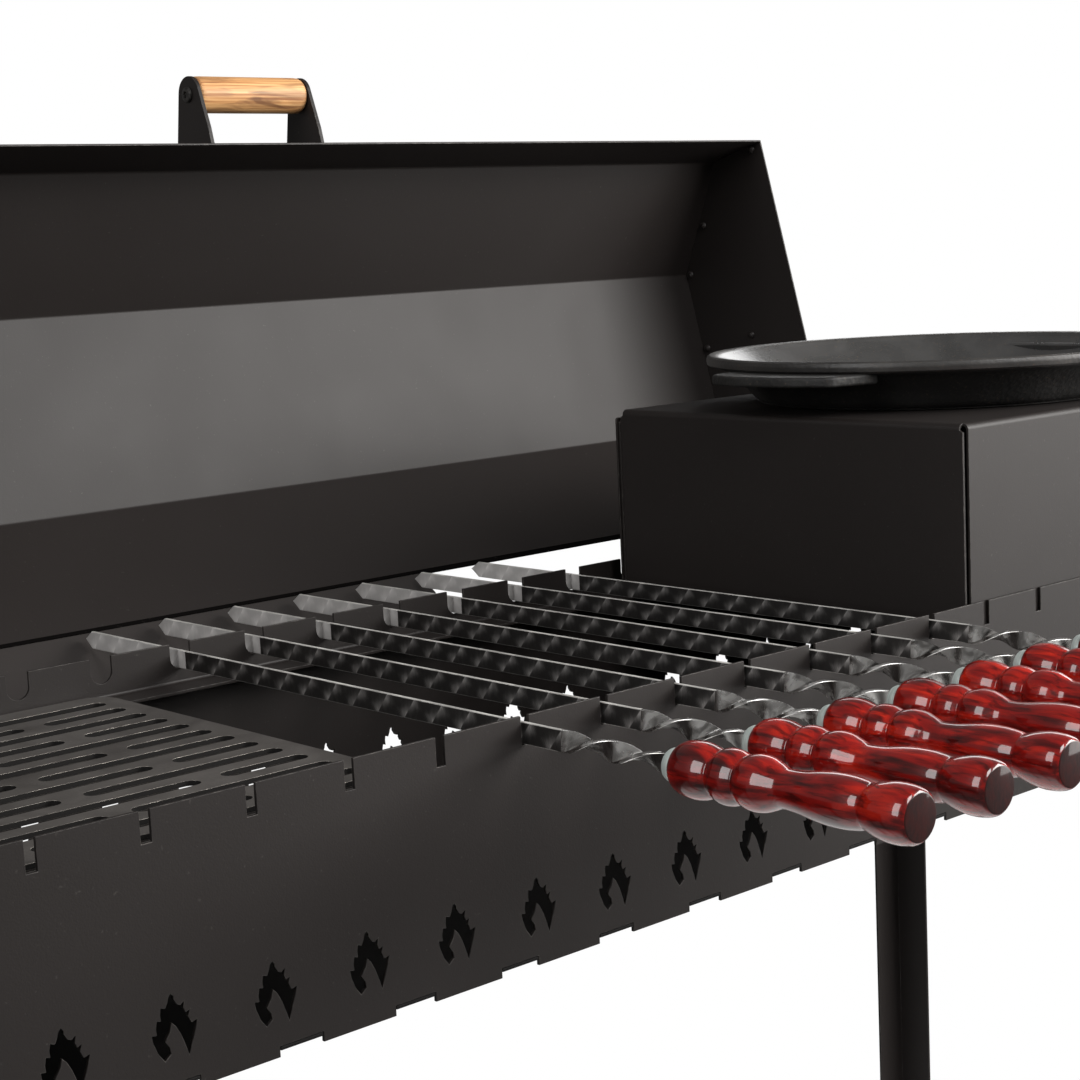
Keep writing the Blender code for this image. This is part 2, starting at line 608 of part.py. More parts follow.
# ---- lid handle --------------------------------------------------------------------------
def make_lid_handle(steel, wood, bolt):
    """Two bent-edge brackets on the front skirt with a wooden grip bolted between them."""
    pivot = (0, *PIVOT)
    base = -(LID_SHEET + GAP)
    axis = (base - GRIP_OUT, GRIP_HIGH)
    side_view = [(base, 0.0045), (base, 0.0545)] + arc(axis, GRIP_RADIUS, 114, 265, 8)
    side_view.append((base - 0.013, 0.0043))
    hole = arc(axis, GRIP_BORE, 0, 360, 12)[:-1]
    centre = opened(*axis)

    def along_x(u, v, x):
        return x, centre[0] + u, centre[1] + v

    for name, side in (("left", -1), ("right", 1)):
        inner = GRIP_MIDDLE + side * (GRIP_HALF + GAP)
        outer = inner + side * BRACKET_SHEET
        prism(f"handle_bracket_{name}", [opened(*p) for p in side_view], "X", inner, outer, steel,
              holes=[[opened(*p) for p in hole]], origin=pivot)
        end = GRIP_MIDDLE + side * (GRIP_HALF - GRIP_BOLT_LENGTH)
        under_head = outer + side * GAP
        head_top = outer + side * 0.0035
        profile = [(0, end), (GRIP_BOLT_RADIUS, end), (GRIP_BOLT_RADIUS, under_head), (0.0058, under_head),
                   (0.0058, outer + side * 0.0025), (0.0035, head_top), (0, head_top)]
        add_object(f"grip_bolt_{name}", turned_mesh(profile, 12, along_x), bolt, origin=pivot, smooth=True)
    bore_end = GRIP_HALF - GRIP_BOLT_LENGTH - 0.001
    chamfer = 0.001
    profile = [(0, -bore_end), (GRIP_BORE, -bore_end), (GRIP_BORE, -GRIP_HALF),
               (GRIP_RADIUS - chamfer, -GRIP_HALF), (GRIP_RADIUS, chamfer - GRIP_HALF),
               (GRIP_RADIUS, GRIP_HALF - chamfer), (GRIP_RADIUS - chamfer, GRIP_HALF),
               (GRIP_BORE, GRIP_HALF), (GRIP_BORE, bore_end), (0, bore_end)]
    bm = turned_mesh([(r, GRIP_MIDDLE + x) for r, x in profile], 24, along_x)
    add_object("handle_grip", bm, wood, origin=pivot, smooth=True)


def main():
    clear_scene()
    steel = make_material("powder_coated_steel", (0.028, 0.024, 0.022), 0.5, 0.0)
    dark_steel = make_material("heat_steel", (0.09, 0.085, 0.08), 0.45, 0.3)
    iron = make_material("cast_iron", (0.02, 0.02, 0.02), 0.55, 0.0)
    blade_steel = make_material("stainless_steel", (0.42, 0.40, 0.38), 0.3, 1.0)
    ferrule_metal = make_material("ferrule_metal", (0.7, 0.68, 0.63), 0.35, 1.0)
    red_wood = make_material("lacquered_wood", (0.22, 0.012, 0.008), 0.15, 0.0)
    pine = make_material("burnt_pine", (0.62, 0.36, 0.17), 0.55, 0.0)
    zinc = make_material("dark_bolt", (0.06, 0.055, 0.05), 0.4, 0.8)
    plastic = make_material("black_plastic", (0.02, 0.02, 0.02), 0.6, 0.0)
    make_front_wall(steel)
    make_rear_wall(steel)
    make_end_walls(steel)
    make_floor(steel)
    make_ledges(steel)
    make_rear_guard(steel)
    make_grate(dark_steel)
    make_stove(steel)
    make_pan(iron)
    for number in range(1, SKEWERS + 1):
        make_skewer(number, blade_steel, ferrule_metal, red_wood)
    make_legs(steel, plastic)
    make_lid(steel)
    make_hinges(steel, zinc)
    make_lid_handle(steel, pine, zinc)


main()
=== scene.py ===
"""Looks of the skewer grill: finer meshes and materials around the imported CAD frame.

Metres, in the CAD's own frame. Lengths along the firebox are counted from its middle, depths from
its front face and heights from the front wall's top edge; place() turns them into the frame.
"""
from math import atan2, cos, hypot, pi, radians, sin, sqrt

import bmesh
import bpy
from mathutils import Matrix, Vector


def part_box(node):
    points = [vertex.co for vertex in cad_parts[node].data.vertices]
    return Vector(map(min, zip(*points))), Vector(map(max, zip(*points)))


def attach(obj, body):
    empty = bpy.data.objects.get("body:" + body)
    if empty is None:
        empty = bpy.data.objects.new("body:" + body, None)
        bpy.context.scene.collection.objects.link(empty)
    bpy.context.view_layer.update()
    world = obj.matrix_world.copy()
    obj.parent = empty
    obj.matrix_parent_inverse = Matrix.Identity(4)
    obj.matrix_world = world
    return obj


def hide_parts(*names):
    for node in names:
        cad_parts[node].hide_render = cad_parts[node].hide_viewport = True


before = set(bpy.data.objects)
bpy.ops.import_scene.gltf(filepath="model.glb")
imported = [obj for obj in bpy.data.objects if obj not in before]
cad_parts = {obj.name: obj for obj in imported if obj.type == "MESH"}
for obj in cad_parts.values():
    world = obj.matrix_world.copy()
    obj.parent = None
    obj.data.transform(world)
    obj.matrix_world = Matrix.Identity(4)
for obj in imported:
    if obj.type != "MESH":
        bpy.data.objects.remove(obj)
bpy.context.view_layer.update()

# ---- sizes, metres -----------------------------------------------------------------------
WALL_LOW, WALL_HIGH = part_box("front_wall")
ORIGIN = Vector((0, WALL_LOW.y, WALL_HIGH.z))
LENGTH = WALL_HIGH.x - WALL_LOW.x
WALL_BOTTOM = WALL_LOW.z - WALL_HIGH.z
SHEET = WALL_HIGH.y - WALL_LOW.y
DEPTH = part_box("rear_wall")[1].y - ORIGIN.y
REAR_WALL_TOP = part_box("rear_wall")[1].z - ORIGIN.z
LID_SHEET = 0.0015
GAP = 0.0003                # left between pieces that would otherwise share a face
EDGE_BEVEL = 0.00035        # how far the edges of bent and cut sheet are rounded
NOTCHES = 18
PITCH = 0.058
NOTCH_WIDTH = 0.0057
NOTCH_DEPTH = 0.0157
REST_NOTCH_RADIUS = 0.0076
VENT_BOTTOM = -0.1206
VENT_PITCH = 0.057
VENT_STRETCH = 1.085        # makes flame()'s outline this much taller
TAB_PITCH = 0.0714
TABS = 15
RECESS_WIDTH = 0.026
RECESS_HEIGHT = 0.0055
PIVOT = (0.375, -0.025)     # depth and height of the lid's axis
LID_FRONT_CLOSED = 0.003    # the closed lid's front edge is this far behind and above the wall's
OPEN_ANGLE = radians(105)
# inside of the lid's shell: distance behind its front edge, height above its mouth
LID_SECTION = ((0, 0), (0, 0.060), (0.090, 0.127), (0.240, 0.127), (0.330, 0.060))
LID_FOLD_RADIUS = 0.0035
LID_HEM = 0.0035            # the lid's lower edge is drawn out by this much
SHADOW_STRIP_REACH = 0.0004           # the near-black strip on the hem, a painted shadow of the gap under the lid, reaches this far above it
# depth and height, with the lid open, of the screws inside its ends
LID_SCREWS = ((0.573, 0.253), (0.592, 0.207), (0.573, 0.137), (0.516, 0.150), (0.509, 0.3205))
# a screw head's outline: radius, distance from the plate
SCREW_HEAD = ((0, 0), (0.0034, 0), (0.0036, 0.0008), (0.0030, 0.0020), (0.0017, 0.0027), (0, 0.0029))
REST_FOLD_RADIUS = 0.003
SKEWERS = 7
FIRST_SKEWER = 5            # its notch, with the leftmost as 0
BLADE_AXIS = -0.0094
BLADE_HALF_WIDTH = 0.00125
BLADE_HALF_HEIGHT = 0.006
TANG_HALF = 0.002
FERRULE_Y = -0.1138
TIP_Y = 0.454
TIP_LENGTH = 0.009
LIT_TIP_LENGTH = 0.010          # from this far before the rear wall's back a blade takes a paler, less metallic steel: painted light from behind
TWIST_START = -0.025
TWIST_EASE = 0.008          # over this length the twist gathers speed
TWIST_END = -0.1045
TWIST_HALF_TURN = 0.036     # length of half a turn


def place(x, y, z):
    return ORIGIN + Vector((x, y, z))


def notch_x(k):
    return (k - (NOTCHES - 1) / 2) * PITCH


def opened(u, w):
    """Depth and height, with the lid open, of a point u behind its front edge and w above its mouth."""
    y = LID_FRONT_CLOSED + u - PIVOT[0]
    z = LID_FRONT_CLOSED + w - PIVOT[1]
    return (PIVOT[0] + y * cos(OPEN_ANGLE) + z * sin(OPEN_ANGLE),
            PIVOT[1] - y * sin(OPEN_ANGLE) + z * cos(OPEN_ANGLE))


# ---- outlines ----------------------------------------------------------------------------
def unit(a, b):
    length = hypot(b[0] - a[0], b[1] - a[1])
    return (b[0] - a[0]) / length, (b[1] - a[1]) / length


def offset_line(points, distance):
    """The open polyline moved to its left by distance, with mitred corners."""
    moved = []
    for i, point in enumerate(points):
        before = unit(points[max(i - 1, 0)], points[max(i, 1)])
        after = unit(points[min(i, len(points) - 2)], points[min(i + 1, len(points) - 1)])
        normal = (-(before[1] + after[1]) / 2, (before[0] + after[0]) / 2)
        scale = distance / (normal[0] ** 2 + normal[1] ** 2)
        moved.append((point[0] + normal[0] * scale, point[1] + normal[1] * scale))
    return moved


def arc(centre, radius, first, last, steps):
    angles = [radians(first + (last - first) * i / steps) for i in range(steps + 1)]
    return [(centre[0] + radius * cos(a), centre[1] + radius * sin(a)) for a in angles]


def rectangle(u0, v0, u1, v1):
    return [(u0, v0), (u1, v0), (u1, v1), (u0, v1)]


def rounded(points, radius, steps=4, closed=True):
    """The outline with an arc for each corner; radius may be a list with one value per corner."""
    result = []
    count = len(points)
    for i, corner in enumerate(points):
        r = radius[i] if isinstance(radius, (list, tuple)) else radius
        if r <= 0 or (not closed and i in (0, count - 1)):
            result.append(corner)
            continue
        to_before = unit(corner, points[i - 1])
        to_after = unit(corner, points[(i + 1) % count])
        cosine = to_before[0] * to_after[0] + to_before[1] * to_after[1]
        half = sqrt(max(1e-9, (1 + cosine) / 2)), sqrt(max(1e-9, (1 - cosine) / 2))
        reach = r * half[0] / half[1]
        start = Vector(corner) + Vector(to_before) * reach
        end = Vector(corner) + Vector(to_after) * reach
        middle = (start + end) / 2 - Vector(corner)
        centre = Vector(corner) + middle.normalized() * (r / half[1])
        for step in range(steps + 1):
            direction = (start - centre).lerp(end - centre, step / steps).normalized()
            result.append(tuple(centre + direction * r))
    return result


def smooth_curve(points, steps):
    """Catmull-Rom curve through the points."""
    result = []
    for i in range(len(points) - 1):
        p0, p1 = points[max(i - 1, 0)], points[i]
        p2, p3 = points[i + 1], points[min(i + 2, len(points) - 1)]
        for step in range(steps):
            t = step / steps
            result.append(tuple(
                0.5 * (2 * b + (c - a) * t + (2 * a - 5 * b + 4 * c - d) * t * t
                       + (3 * b - a - 3 * c + d) * t ** 3)
                for a, b, c, d in zip(p0, p1, p2, p3)))
    result.append(tuple(points[-1]))
    return result


# ---- mesh making -------------------------------------------------------------------------
def in_space(axis, u, v, along):
    if axis == "X":
        return Vector((along, u, v))
    if axis == "Y":
        return Vector((u, along, v))
    return Vector((u, v, along))


def prism_mesh(outline, holes, axis, start, end):
    """Closed solid: an outline with holes, extruded along an axis from start to end."""
    bm = bmesh.new()
    edges = []
    for loop in (outline, *holes):
        verts = [bm.verts.new(in_space(axis, u, v, start)) for u, v in loop]
        for a, b in zip(verts, verts[1:] + verts[:1]):
            edges.append(bm.edges.new((a, b)))
    bmesh.ops.triangle_fill(bm, use_beauty=True, use_dissolve=False, edges=edges)
    sides = bmesh.ops.extrude_face_region(bm, geom=bm.faces[:])["geom"]
    moved = [item for item in sides if isinstance(item, bmesh.types.BMVert)]
    bmesh.ops.translate(bm, verts=moved, vec=in_space(axis, 0, 0, end - start))
    bmesh.ops.recalc_face_normals(bm, faces=bm.faces)
    return bm


def ring_mesh(rings, close_ends=True, closed_loop=False):
    """Skin over rings of points with the same count; a ring of one point closes to a tip.

    With closed_loop the last ring is joined to the first, as around a through bore.
    """
    bm = bmesh.new()
    made = [[bm.verts.new(point) for point in ring] for ring in rings]
    pairs = list(zip(made, made[1:])) + ([(made[-1], made[0])] if closed_loop else [])
    for low, high in pairs:
        count = max(len(low), len(high))
        for i in range(count):
            j = (i + 1) % count
            corners = [low[i % len(low)], low[j % len(low)], high[j % len(high)], high[i % len(high)]]
            bm.faces.new(list(dict.fromkeys(corners)))
    if close_ends:
        for ring in (made[0], made[-1]):
            if len(ring) > 2:
                bm.faces.new(ring)
    bmesh.ops.recalc_face_normals(bm, faces=bm.faces)
    return bm


def turned_mesh(profile, segments, put):
    """Turned solid from (radius, along) points; put maps two cross distances and along to a point."""
    rings = []
    for radius, along in profile:
        if radius < 1e-6:
            rings.append([put(0, 0, along)])
        else:
            turns = [2 * pi * i / segments for i in range(segments)]
            rings.append([put(radius * cos(a), radius * sin(a), along) for a in turns])
    open_bore = profile[0][0] > 1e-6 and profile[-1][0] > 1e-6
    return ring_mesh(rings, close_ends=False, closed_loop=open_bore)


def bevel_edges(bm, width, segments=2, edge_slot=None, angle=28):
    """Rounds every sharp edge; the narrow new faces take the material edge_slot."""
    bmesh.ops.remove_doubles(bm, verts=bm.verts, dist=1e-6)
    bmesh.ops.dissolve_limit(bm, angle_limit=radians(1), verts=bm.verts, edges=bm.edges)
    sharp = [e for e in bm.edges if e.is_manifold and e.calc_face_angle(0) > radians(angle)]
    made = bmesh.ops.bevel(bm, geom=sharp, offset=width, segments=segments, profile=0.5,
                           affect="EDGES", clamp_overlap=True)
    if edge_slot is not None:
        for face in made["faces"]:
            face.material_index = edge_slot


def add_object(name, data):
    thing = bpy.data.objects.new(name, data)
    bpy.context.scene.collection.objects.link(thing)
    return thing


def mesh_object(name, bm):
    """An object with bm as its mesh; bm is used up."""
    mesh = bpy.data.meshes.new(name)
    bm.to_mesh(mesh)
    bm.free()
    return add_object(name, mesh)


def applied(thing, *tools):
    """An object's mesh after its modifiers; the object and its tools are used up."""
    evaluated = thing.evaluated_get(bpy.context.evaluated_depsgraph_get())
    result = bmesh.new()
    result.from_mesh(evaluated.to_mesh())
    evaluated.to_mesh_clear()
    for used in (thing, *tools):
        mesh = used.data
        bpy.data.objects.remove(used)
        bpy.data.meshes.remove(mesh)
    return result


def new_piece(name, bm, materials, body, smooth_angle=40):
    """Turns a mesh given in firebox places into a piece that rides on a CAD body."""
    bmesh.ops.translate(bm, verts=bm.verts, vec=ORIGIN)
    piece = mesh_object(name, bm)
    piece.data.shade_smooth()
    piece.data.set_sharp_from_angle(angle=radians(smooth_angle))
    for material in materials:
        piece.data.materials.append(material)
    normals = piece.modifiers.new("face_normals", "WEIGHTED_NORMAL")
    normals.keep_sharp = True
    normals.weight = 100
    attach(piece, body)
    return piece


def boolean(bm, cutter, operation):
    """bm with cutter joined or cut out, by an exact Boolean; both meshes are used up."""
    thing, tool = mesh_object("boolean_body", bm), mesh_object("boolean_tool", cutter)
    modifier = thing.modifiers.new("cut", "BOOLEAN")
    modifier.operation = operation
    modifier.object = tool
    return applied(thing, tool)


def merged(parts):
    """One mesh that holds several, as separate shells."""
    result = bmesh.new()
    for part in parts:
        mesh = bpy.data.meshes.new("merged")
        part.to_mesh(mesh)
        part.free()
        result.from_mesh(mesh)
        bpy.data.meshes.remove(mesh)
    return result


def refine(node, body, materials, width=0.0004, segments=2):
    """A copy of a CAD node with rounded edges, which stands for the node."""
    bm = bmesh.new()
    bm.from_mesh(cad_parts[node].data)
    bmesh.ops.translate(bm, verts=bm.verts, vec=-ORIGIN)
    bevel_edges(bm, width, segments, edge_slot=1 if len(materials) > 1 else None)
    for face in bm.faces:
        if face.material_index >= len(materials):
            face.material_index = 0
    stand_for(new_piece(f"{node}_fine", bm, materials, body), node)


def stand_for(piece, node):
    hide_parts(node)


# ---- materials ---------------------------------------------------------------------------
class Nodes:
    """Short calls for building one material's node tree."""

    def __init__(self, name):
        self.material = bpy.data.materials.new(name)
        self.material.use_nodes = True
        self.tree = self.material.node_tree
        self.shader = self.tree.nodes["Principled BSDF"]
        self.coordinates = self.tree.nodes.new("ShaderNodeTexCoord").outputs["Object"]

    def set(self, **values):
        for name, value in values.items():
            self.shader.inputs[name.replace("_", " ")].default_value = value

    def link(self, source, target):
        self.tree.links.new(source, target)

    def mapped(self, scale, location=(0, 0, 0), source=None):
        node = self.tree.nodes.new("ShaderNodeMapping")
        node.inputs["Scale"].default_value = scale
        node.inputs["Location"].default_value = location
        self.link(source or self.coordinates, node.inputs["Vector"])
        return node.outputs["Vector"]

    def noise(self, scale, detail, vector=None, distortion=0.0):
        node = self.tree.nodes.new("ShaderNodeTexNoise")
        node.inputs["Scale"].default_value = scale
        node.inputs["Detail"].default_value = detail
        node.inputs["Distortion"].default_value = distortion
        self.link(vector or self.coordinates, node.inputs["Vector"])
        return node.outputs["Fac"]

    def voronoi(self, scale):
        node = self.tree.nodes.new("ShaderNodeTexVoronoi")
        node.inputs["Scale"].default_value = scale
        self.link(self.coordinates, node.inputs["Vector"])
        return node.outputs["Distance"]

    def ramp(self, value, stops):
        """Colour ramp; a stop is (place, grey) or (place, (r, g, b))."""
        node = self.tree.nodes.new("ShaderNodeValToRGB")
        elements = node.color_ramp.elements
        while len(elements) < len(stops):
            elements.new(0.5)
        for element, (position, colour) in zip(elements, stops):
            element.position = position
            shade = colour if isinstance(colour, tuple) else (colour,) * 3
            element.color = (*shade, 1.0)
        self.link(value, node.inputs["Fac"])
        return node.outputs["Color"]

    def mix(self, factor, first, second, blend="MIX"):
        node = self.tree.nodes.new("ShaderNodeMix")
        node.data_type = "RGBA"
        node.blend_type = blend
        for name, value in (("Factor", factor), ("A", first), ("B", second)):
            socket = [s for s in node.inputs if s.name == name and s.enabled][0]
            if isinstance(value, bpy.types.NodeSocket):
                self.link(value, socket)
            else:
                socket.default_value = value if name == "Factor" else (*value, 1.0)
        return [s for s in node.outputs if s.enabled][0]

    def math(self, operation, first, second=0.0, third=None):
        node = self.tree.nodes.new("ShaderNodeMath")
        node.operation = operation
        for index, value in enumerate((first, second, third)):
            if isinstance(value, bpy.types.NodeSocket):
                self.link(value, node.inputs[index])
            elif value is not None:
                node.inputs[index].default_value = value
        return node.outputs["Value"]

    def split(self):
        node = self.tree.nodes.new("ShaderNodeSeparateXYZ")
        self.link(self.coordinates, node.inputs["Vector"])
        return node.outputs

    def colour(self, source):
        self.link(source, self.shader.inputs["Base Color"])

    def roughness(self, source):
        self.link(source, self.shader.inputs["Roughness"])

    def bump(self, height, strength, distance):
        node = self.tree.nodes.new("ShaderNodeBump")
        node.inputs["Strength"].default_value = strength
        node.inputs["Distance"].default_value = distance
        self.link(height, node.inputs["Height"])
        self.link(node.outputs["Normal"], self.shader.inputs["Normal"])


def coating(name, dark, light, rough=(0.49, 0.53), specular=0.35):
    """Matte powder coat: fine orange peel, faint clouds in colour and gloss, small dust specks."""
    n = Nodes(name)
    n.set(Specular_IOR_Level=specular)
    clouds = n.noise(2.2, 4.0, distortion=0.4)
    body = n.mix(n.ramp(clouds, ((0.25, 0.0), (0.8, 1.0))), dark, light)
    speck = n.ramp(n.noise(420.0, 2.0), ((0.70, 0.0), (0.78, 1.0)))
    n.colour(n.mix(n.math("MULTIPLY", speck, 0.25), body, (0.10, 0.092, 0.085)))
    gloss = n.noise(9.0, 5.0, distortion=0.6)
    n.roughness(n.ramp(gloss, ((0.3, rough[0]), (0.75, rough[1]))))
    peel = n.math("ADD", n.noise(950.0, 1.0), n.math("MULTIPLY", n.noise(320.0, 2.0), 0.6))
    n.bump(peel, 0.22, 0.0002)
    return n.material


def worn_edge():
    """Where the coat has rubbed thin along an edge."""
    n = Nodes("worn_edge")
    n.set(Metallic=0.25, Specular_IOR_Level=0.4)
    wear = n.noise(160.0, 4.0, distortion=0.3)
    n.colour(n.ramp(wear, ((0.45, (0.018, 0.0155, 0.0145)), (0.78, (0.085, 0.077, 0.070)))))
    n.roughness(n.ramp(wear, ((0.3, 0.5), (0.7, 0.34))))
    return n.material


def grate_coat():
    """Thick heat-proof coat on the grate, satin, with greasy patches."""
    n = Nodes("grate_coat")
    n.set(Specular_IOR_Level=0.5)
    patch = n.noise(26.0, 5.0, distortion=0.8)
    n.colour(n.ramp(patch, ((0.3, (0.044, 0.040, 0.037)), (0.7, (0.074, 0.068, 0.063)))))
    n.roughness(n.ramp(patch, ((0.3, 0.38), (0.7, 0.50))))
    n.bump(n.noise(600.0, 3.0), 0.40, 0.0003)
    return n.material


def grate_edge():
    n = Nodes("grate_edge")
    n.set(Metallic=0.6)
    shine = n.noise(120.0, 3.0)
    n.colour(n.ramp(shine, ((0.35, (0.10, 0.092, 0.084)), (0.7, (0.42, 0.39, 0.35)))))
    n.roughness(n.ramp(shine, ((0.3, 0.34), (0.7, 0.24))))
    return n.material


def cast_iron(name, low, high, bump, rough, specular=0.5):
    """Seasoned casting with sandy pits and oily patches."""
    n = Nodes(name)
    n.set(Specular_IOR_Level=specular)
    oil = n.noise(22.0, 5.0, distortion=0.7)
    base = n.ramp(oil, ((0.3, low), (0.72, high)))
    freckle = n.ramp(n.noise(520.0, 2.0), ((0.62, 0.0), (0.74, 1.0)))
    n.colour(n.mix(n.math("MULTIPLY", freckle, 0.35), base, (0.12, 0.085, 0.055)))
    n.roughness(n.ramp(oil, ((0.25, rough[0]), (0.75, rough[1]))))
    pits = n.math("ADD", n.noise(380.0, 3.0), n.math("MULTIPLY", n.voronoi(260.0), 0.7))
    n.bump(pits, bump, 0.0006)
    return n.material


def engine_turned(name, metallic, tones):
    """A row of round brush marks that meet along slanting lines, each light in two opposite wedges; the
    wedges are a painted reflection of the way brushed steel throws light, laid over real rings and
    scratches.
    """
    n = Nodes(name)
    n.set(Metallic=metallic)
    pitch, slant, wedge_angle, dark_radius, ring_density = 0.0243, 0.8, 0.45, 0.0095, 5000.0
    _, along, up = n.split()
    height = n.math("SUBTRACT", up, ORIGIN.z + BLADE_AXIS)
    shift = n.math("MULTIPLY", height, slant)
    share = n.math("FRACT", n.math("DIVIDE", n.math("ADD", along, shift), pitch))
    local = n.math("SUBTRACT", n.math("MULTIPLY", n.math("SUBTRACT", share, 0.5), pitch), shift)
    # painted reflection: each brush mark is light in two opposite wedges and dark elsewhere
    angle = n.math("ARCTAN2", height, local)
    turned = n.math("COSINE", n.math("SUBTRACT", angle, wedge_angle))
    wedge = n.math("POWER", n.math("ABSOLUTE", turned), 5.0)
    square = n.math("ADD", n.math("MULTIPLY", local, local), n.math("MULTIPLY", height, height))
    radius = n.math("SQRT", square)
    outer = n.math("MINIMUM", n.math("DIVIDE", radius, dark_radius), 1.0)
    rings = n.math("MULTIPLY", n.math("SINE", n.math("MULTIPLY", radius, ring_density)), 0.05)
    scratches = n.noise(170.0, 4.0, n.mapped((1, 2, 1)))
    streaks = n.math("MULTIPLY", n.math("SUBTRACT", scratches, 0.5), 0.7)
    tone = n.math("ADD", n.math("ADD", n.math("MULTIPLY", wedge, outer), rings), streaks)
    places = (0.05, 0.35, 0.80, 1.0)
    stops = [(at, (grey, 0.965 * grey, 0.94 * grey)) for at, grey in zip(places, tones)]
    n.colour(n.ramp(tone, stops))
    n.roughness(n.ramp(tone, ((0.2, 0.36), (1.0, 0.46))))
    n.bump(n.math("ADD", rings, streaks), 0.06, 0.0001)
    return n.material


def blade_edge():
    """The sheared edge of a blade, pale: a painted highlight for the bright line the light draws along its
    top.
    """
    n = Nodes("blade_edge_painted_highlight")
    n.set(Metallic=0.45)
    scratch = n.noise(200.0, 4.0, n.mapped((1, 0.3, 1)))
    n.colour(n.ramp(scratch, ((0.3, (0.42, 0.41, 0.39)), (0.7, (0.78, 0.76, 0.72)))))
    n.roughness(n.ramp(scratch, ((0.3, 0.42), (0.7, 0.55))))
    return n.material


def bright_steel():
    """Twisted shanks: polished steel with brushed patches and fine scratches."""
    n = Nodes("bright_steel")
    n.set(Metallic=1.0)
    patch = n.noise(95.0, 2.0, distortion=0.8)
    n.colour(n.ramp(patch, ((0.36, (0.42, 0.405, 0.39)), (0.50, (0.75, 0.735, 0.715)),
                            (0.62, (0.97, 0.955, 0.93)))))
    n.roughness(n.ramp(patch, ((0.35, 0.18), (0.62, 0.31))))
    n.bump(n.noise(260.0, 4.0, n.mapped((6, 1, 6))), 0.06, 0.0002)
    return n.material


def ferrule_metal():
    n = Nodes("ferrule_metal")
    n.set(Metallic=0.35)
    turn = n.noise(40.0, 3.0, n.mapped((1, 40, 1)))
    n.colour(n.ramp(turn, ((0.3, (0.42, 0.47, 0.45)), (0.7, (0.60, 0.66, 0.63)))))
    n.roughness(n.ramp(turn, ((0.3, 0.30), (0.7, 0.45))))
    n.bump(turn, 0.1, 0.0001)
    return n.material


def lacquered_wood(number):
    """Turned wood under red lacquer; each handle has its own stretch of grain."""
    n = Nodes(f"lacquered_wood_{number}")
    n.set(Coat_Weight=1.0, Coat_Roughness=0.03, Coat_IOR=1.57, Specular_IOR_Level=0.15)
    shifted = n.mapped((1, 1, 1), (0.37 * number, 0.19 * number, 0.53 * number))
    warp = n.mapped((55, 9, 55), source=shifted)
    grain = n.noise(1.6, 5.0, warp, distortion=1.4)
    fine = n.noise(5.0, 4.0, n.mapped((70, 6, 70), source=shifted), distortion=0.6)
    base = n.ramp(grain, ((0.30, (0.055, 0.0018, 0.0014)), (0.50, (0.22, 0.0045, 0.0030)),
                          (0.74, (0.54, 0.020, 0.006))))
    pores = n.ramp(fine, ((0.36, (0.38, 0.30, 0.28)), (0.52, (1.0, 1.0, 1.0))))
    n.colour(n.mix(1.0, base, pores, "MULTIPLY"))
    n.roughness(n.ramp(grain, ((0.3, 0.34), (0.7, 0.24))))
    n.bump(n.math("ADD", fine, n.math("MULTIPLY", grain, 0.5)), 0.06, 0.0004)
    return n.material


def end_grain_lacquer():
    """The cut end of a handle: dark, with faint rings of growth."""
    n = Nodes("end_grain_lacquer")
    n.set(Coat_Weight=0.8, Coat_Roughness=0.05, Specular_IOR_Level=0.15)
    rings = n.noise(3.0, 4.0, n.mapped((160, 1, 60)), distortion=0.8)
    n.colour(n.ramp(rings, ((0.35, (0.010, 0.0010, 0.0008)), (0.7, (0.034, 0.0028, 0.0018)))))
    n.roughness(n.ramp(rings, ((0.3, 0.45), (0.7, 0.3))))
    n.bump(rings, 0.2, 0.0003)
    return n.material


def singed_pine(name, darkness):
    """Light pine with fine growth lines and scorched streaks along the grip."""
    n = Nodes(name)
    lines = n.noise(3.0, 5.0, n.mapped((4, 190, 190)), distortion=0.5)
    wide = n.noise(2.0, 3.0, n.mapped((9, 60, 60)), distortion=0.9)
    base = n.ramp(lines, ((0.30, (0.36, 0.145, 0.050)), (0.46, (0.58, 0.29, 0.110)),
                          (0.68, (0.80, 0.48, 0.215))))
    scorch = n.ramp(wide, ((0.30, 0.80), (0.50, 0.0)))
    tone = n.mix(scorch, base, (0.12, 0.045, 0.020))
    n.colour(n.mix(darkness, tone, (0.16, 0.07, 0.03)))
    n.roughness(n.ramp(lines, ((0.3, 0.62), (0.7, 0.46))))
    n.bump(lines, 0.35, 0.0004)
    return n.material


def fastener():
    n = Nodes("blackened_steel")
    n.set(Metallic=0.7)
    patch = n.noise(300.0, 3.0)
    n.colour(n.ramp(patch, ((0.3, (0.028, 0.026, 0.025)), (0.7, (0.075, 0.070, 0.065)))))
    n.roughness(n.ramp(patch, ((0.3, 0.32), (0.7, 0.5))))
    return n.material


def foot_plastic():
    n = Nodes("foot_plastic")
    grain = n.noise(500.0, 3.0)
    n.colour(n.ramp(grain, ((0.3, (0.012, 0.012, 0.012)), (0.7, (0.022, 0.022, 0.022)))))
    n.roughness(n.ramp(grain, ((0.3, 0.5), (0.7, 0.65))))
    n.bump(grain, 0.3, 0.0003)
    return n.material


COAT = coating("graphite_coat", (0.0112, 0.0086, 0.0078), (0.0142, 0.0111, 0.0101))
# darker copy of the coat: painted shade for the floor plate's tabs in the wall's recesses and for the
# grate's slot walls
DARK_SHADE_COAT = coating("painted_shade_coat", (0.0035, 0.0030, 0.0028), (0.0065, 0.0056, 0.0052), (0.60, 0.75), 0.2)
